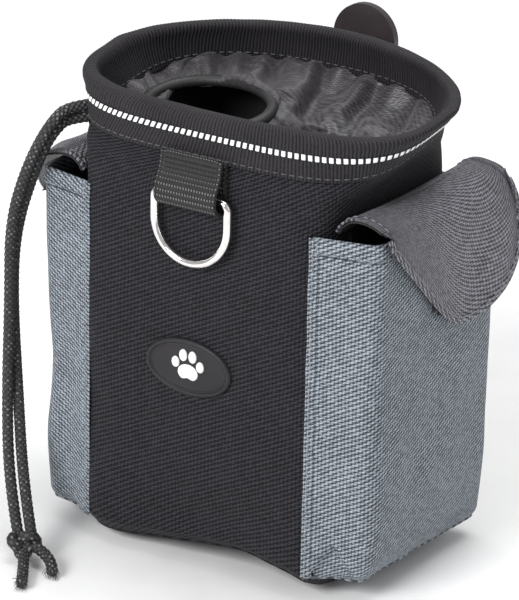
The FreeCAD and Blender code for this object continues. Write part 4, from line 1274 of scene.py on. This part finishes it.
STITCH_LIFT = OUTER_LIFT + 0.36
HEM_LIFT, HEM_WIDTH = 0.38, 2.9      # the turned edge is thicker, as wide as this
STITCH_INSET = 2.2      # from the edge to its topstitching
TOP_ROWS = 14


def flap_surface(side, y, s, lift):
    """Point of a flap, s along its profile and lift above it."""
    sign = 1 if side == "right" else -1
    track = FLAP_TRACKS[side]
    p = track(s)
    d = track.direction(s, 0.8)
    n = Vector((-d.y, d.x, 0.0))
    if n.y < 0 and s < 10:
        n = -n
    free = smoothstep((s - 8) / 16)
    soft = 0.55 * wobble(y, s, 0, 15, 40 + sign) + 0.9 * wobble(y, s, 0, 30, 44 + sign)
    rear = smoothstep((y - 14) / 28)
    front = smoothstep((-14 - y) / 24)
    over = smoothstep((s - 12) / 26)
    stand = 3.6 * rear * over * (1 if side == "right" else -0.4)
    sag = -1.1 * math.sin(math.pi * min(1.0, s / 24.0)) * bump(y, 5, 22) * (s < 24)
    cord_room = 1.8 * smoothstep((-26 - y) / 8) * bump(s, 18, 10) * (side == "left")
    q = p + n * (lift + soft * free * 0.7 + stand + sag + 0.5 * front * (1 - over) - cord_room)
    return Vector((sign * q.x, y + 0.8 * rear * over, q.y))


FLAP_TRACKS = {side: Track([(x, z, 0.0) for x, z in spline(points, 10)])
               for side, points in PROFILE.items()}
FOLD_AT = 22.6       # distance from the root to where the tongue's own outline starts
SPLIT_AT = 9.5       # the two pieces of a flap meet here, on the crest


def flap_columns():
    """Places across a flap, closer together on both sides of its turned edges."""
    ys = [FLAP_FRONT, FLAP_FRONT + 0.5, FLAP_FRONT + 2.8, FLAP_FRONT + 3.2]
    ys += [FLAP_FRONT + 3.2 + (FLAP_BACK - FLAP_FRONT - 6.4) * i / 58 for i in range(1, 58)]
    return ys + [FLAP_BACK - 3.2, FLAP_BACK - 2.8, FLAP_BACK - 0.5, FLAP_BACK]


def edge_lift(distance):
    return HEM_LIFT if distance <= HEM_WIDTH else 0.0


for side, sign in (("left", -1), ("right", 1)):
    body_top, body_tongue = side + "_flap_top", side + "_flap_tongue"
    root = (sign * 51.3 * MM, 0.0, 0.1335)
    ys = flap_columns()
    tongue_track = Track([(y, s, 0.0) for y, s in TONGUE])
    columns = len(ys)
    rim_line = [tongue_track(tongue_track.length * j / (columns - 1)) for j in range(columns)]

    def top_grid(lift, first, hem):
        """From the root, or a little up from it, to the crest line."""
        lifts = [lift + (edge_lift(min(y - FLAP_FRONT, FLAP_BACK - y)) if hem else 0.0)
                 for y in ys]
        made = []
        for i in range(TOP_ROWS + 1):
            s = first + (SPLIT_AT - first) * i / TOP_ROWS
            made.append([flap_surface(side, y, s, here) for y, here in zip(ys, lifts)])
        return made

    def tongue_grid(lift, inset, hem):
        """From the crest line over the fold to the tongue's rounded edge."""
        inner, outer = [], []
        for j, p in enumerate(rim_line):
            a = rim_line[max(j - 1, 0)]
            b = rim_line[min(j + 1, columns - 1)]
            d = (b - a).normalized()
            n = Vector((d.y, -d.x, 0.0))
            if j < 3 or j > columns - 4:
                n = Vector((1.0 if j < 3 else -1.0, 0.0, 0.0))
            if n.y > 0 and n.x * p.x > 0:
                n = -n
            outer.append(p + n * inset)
            inner.append(p + n * (HEM_WIDTH + inset))
        made = []
        steps = 46
        for i in range(steps + 1):
            t = i / steps
            row = []
            for j, y in enumerate(ys):
                q = inner[j]
                end_s = max(q.y, 0.0)
                s = SPLIT_AT + (FOLD_AT + end_s - SPLIT_AT) * t
                blend_y = smoothstep((s - FOLD_AT + 4.0) / max(end_s + 4.0, 1.0))
                yy = y + (q.x - y) * blend_y
                side_d = min(j, columns - 1 - j)
                lifted = HEM_LIFT if hem and side_d <= 2 else 0.0
                row.append(flap_surface(side, yy, s, lift + lifted))
            made.append(row)
        for share, extra in ((0.12, 1.0), (0.5, 1.0), (0.9, 1.0), (1.0, 0.5)):
            row = []
            for j in range(columns):
                q = inner[j].lerp(outer[j], share)
                row.append(flap_surface(side, q.x, FOLD_AT + max(q.y, 0.0),
                                        lift + (HEM_LIFT * extra if hem else 0.0)))
            made.append(row)
        return made

    top = grid(side + "_flap_top_cloth", top_grid(OUTER_LIFT, 0.0, True),
               "flap_cloth", flip=sign > 0)
    thicken(top, FLAP_CLOTH)
    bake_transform(top)
    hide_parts(side + "_flap_top")
    top_lining = grid(side + "_flap_top_lining_cloth",
                      top_grid(LINING_LIFT, 0.2, False),
                      "lining_cloth", flip=sign > 0)
    thicken(top_lining, FLAP_LINING)
    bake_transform(top_lining)
    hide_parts(side + "_flap_top_lining")
    tongue = grid(side + "_flap_tongue_cloth", tongue_grid(OUTER_LIFT, 0.0, True), "flap_cloth",
                  flip=sign > 0)
    thicken(tongue, FLAP_CLOTH)
    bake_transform(tongue)
    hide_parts(side + "_flap_tongue")
    tongue_lining = grid(side + "_flap_tongue_lining_cloth",
                         tongue_grid(LINING_LIFT, 0.7, False), "lining_cloth",
                         flip=sign > 0)
    thicken(tongue_lining, FLAP_LINING)
    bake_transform(tongue_lining)
    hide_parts(side + "_flap_tongue_lining")

    # topstitching round the tongue and up both sides of the flap
    def flap_normal(y, s):
        here = flap_surface(side, y, s, 0.0)
        out = flap_surface(side, y, s, 1.0)
        return (out - here).normalized()

    stitch_line, stitch_normals = [], []
    for j in range(0, columns):
        p = rim_line[j]
        a = rim_line[max(j - 1, 0)]
        b = rim_line[min(j + 1, columns - 1)]
        d = (b - a).normalized()
        n = Vector((d.y, -d.x, 0.0))
        if j < 3 or j > columns - 4:
            n = Vector((1.0 if j < 3 else -1.0, 0.0, 0.0))
        q = p + n * STITCH_INSET
        s = FOLD_AT + max(q.y, 0.0)
        stitch_line.append(flap_surface(side, q.x, s, STITCH_LIFT))
        stitch_normals.append(flap_normal(q.x, s))
    edge_stitch = stitches(side + "_flap_tongue_stitch", stitch_line, stitch_normals, **TOPSTITCH)
    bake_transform(edge_stitch)
    for which, y in (("front", FLAP_FRONT + STITCH_INSET), ("back", FLAP_BACK - STITCH_INSET)):
        for part, first, last in (("root", 1.0, SPLIT_AT), ("fold", SPLIT_AT, FOLD_AT)):
            ss = [first + (last - first) * i / TOP_ROWS for i in range(TOP_ROWS + 1)]
            line = [flap_surface(side, y, s, STITCH_LIFT) for s in ss]
            normals = [flap_normal(y, s) for s in ss]
            row = stitches(side + "_flap_stitch_" + which + "_" + part, line, normals,
                           **TOPSTITCH)
            if part == "root":
                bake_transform(row)
            else:
                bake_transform(row)

    # hook half of the fastener on the tongue's lining
    low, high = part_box(side + "_flap_hook_tape")
    y0, y1 = low[1] / MM, high[1] / MM
    hook_from, hook_to = FOLD_AT + 19.0, FOLD_AT + 37.0
    rows = []
    for i in range(25):
        s = hook_from + (hook_to - hook_from) * i / 24
        row = []
        for j in range(45):
            y = y0 + (y1 - y0) * j / 44
            border = min(i, 24 - i, j, 44 - j)
            tuft = 0.3 * ((i + j) % 2) if border > 0 else 0.0
            base_lift = OUTER_LIFT - FLAP_CLOTH - 0.45
            row.append(flap_surface(side, y, s, base_lift - (0.5 + tuft if border else 0.0)))
        rows.append(row)
    hooks = grid(side + "_flap_hook_pile", rows, "fastener", flip=sign < 0)
    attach(hooks, body_tongue)
    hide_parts(side + "_flap_hook_tape")

# ------------------------------------------------- CAD nodes that stay visible
KEPT = {
    "rim_hoop": ("hoop_plastic", 0.0), "cord_eyelet": ("eyelet_metal", 0.15),
    "drawcord_hem_loop": ("cord_plain", 0.0), "clip_patch": ("webbing_patch", 0.3),
    "clip_base": ("clip_plastic", 0.45), "clip_lever": ("clip_plastic", 0.6),
    "clip_pin": ("pin_steel", 0.2), "clip_spring": ("pin_steel", 0.0),
    "clip_rivets": ("pin_steel", 0.3),
}
M["cord_plain"] = speckled("cord_plain", (0.008, 0.008, 0.009), (0.05, 0.05, 0.052), 1.5, 0.08,
                           Roughness=0.6)
M["webbing_patch"] = speckled("webbing_patch", (0.010, 0.010, 0.011), (0.05, 0.048, 0.052), 1.3,
                              0.12, Roughness=0.7)
for name, (material, bevel) in KEPT.items():
    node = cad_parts[name]
    if not node.material_slots:
        node.data.materials.append(None)
    for material_slot in node.material_slots:
        material_slot.material = M[material]
    if bevel:
        rounded = node.modifiers.new("edge", "BEVEL")
        rounded.width = bevel * MM
        rounded.segments = 3
        rounded.limit_method = "ANGLE"
        rounded.angle_limit = math.radians(35)
        rounded.harden_normals = False

# ---------------------------------------------------------------- the studio
M["floor"] = speckled("floor", (0.90, 0.90, 0.90), (0.92, 0.92, 0.92), 0.05, 0.0, Roughness=0.8)
studio_floor = new_piece("studio_floor", [(-9000, -9000, 0), (9000, -9000, 0), (9000, 9000, 0),
                                          (-9000, 9000, 0)], [(0, 1, 2, 3)], "floor")
world = bpy.data.worlds.new("studio")
world.use_nodes = True
background = world.node_tree.nodes["Background"]
background.inputs["Color"].default_value = (1.0, 1.0, 1.0, 1.0)
background.inputs["Strength"].default_value = 0.52
bpy.context.scene.world = world

LIGHT_AIM = Vector((0.0, 0.0, 0.08))


def softbox(name, place, size, power):
    lamp = bpy.data.lights.new(name, "AREA")
    lamp.shape = "RECTANGLE"
    lamp.size, lamp.size_y = size
    lamp.energy = power
    holder = bpy.data.objects.new(name, lamp)
    bpy.context.scene.collection.objects.link(holder)
    holder.location = place
    look = LIGHT_AIM - Vector(place)
    holder.rotation_euler = look.to_track_quat("-Z", "Y").to_euler()


softbox("key_light", (-0.25, -1.55, 1.05), (0.7, 0.7), 27.0)
softbox("fill_light", (1.4, -0.3, 0.8), (0.5, 0.9), 1.0)
softbox("top_light", (0.1, 0.3, 1.5), (1.0, 1.0), 13.0)
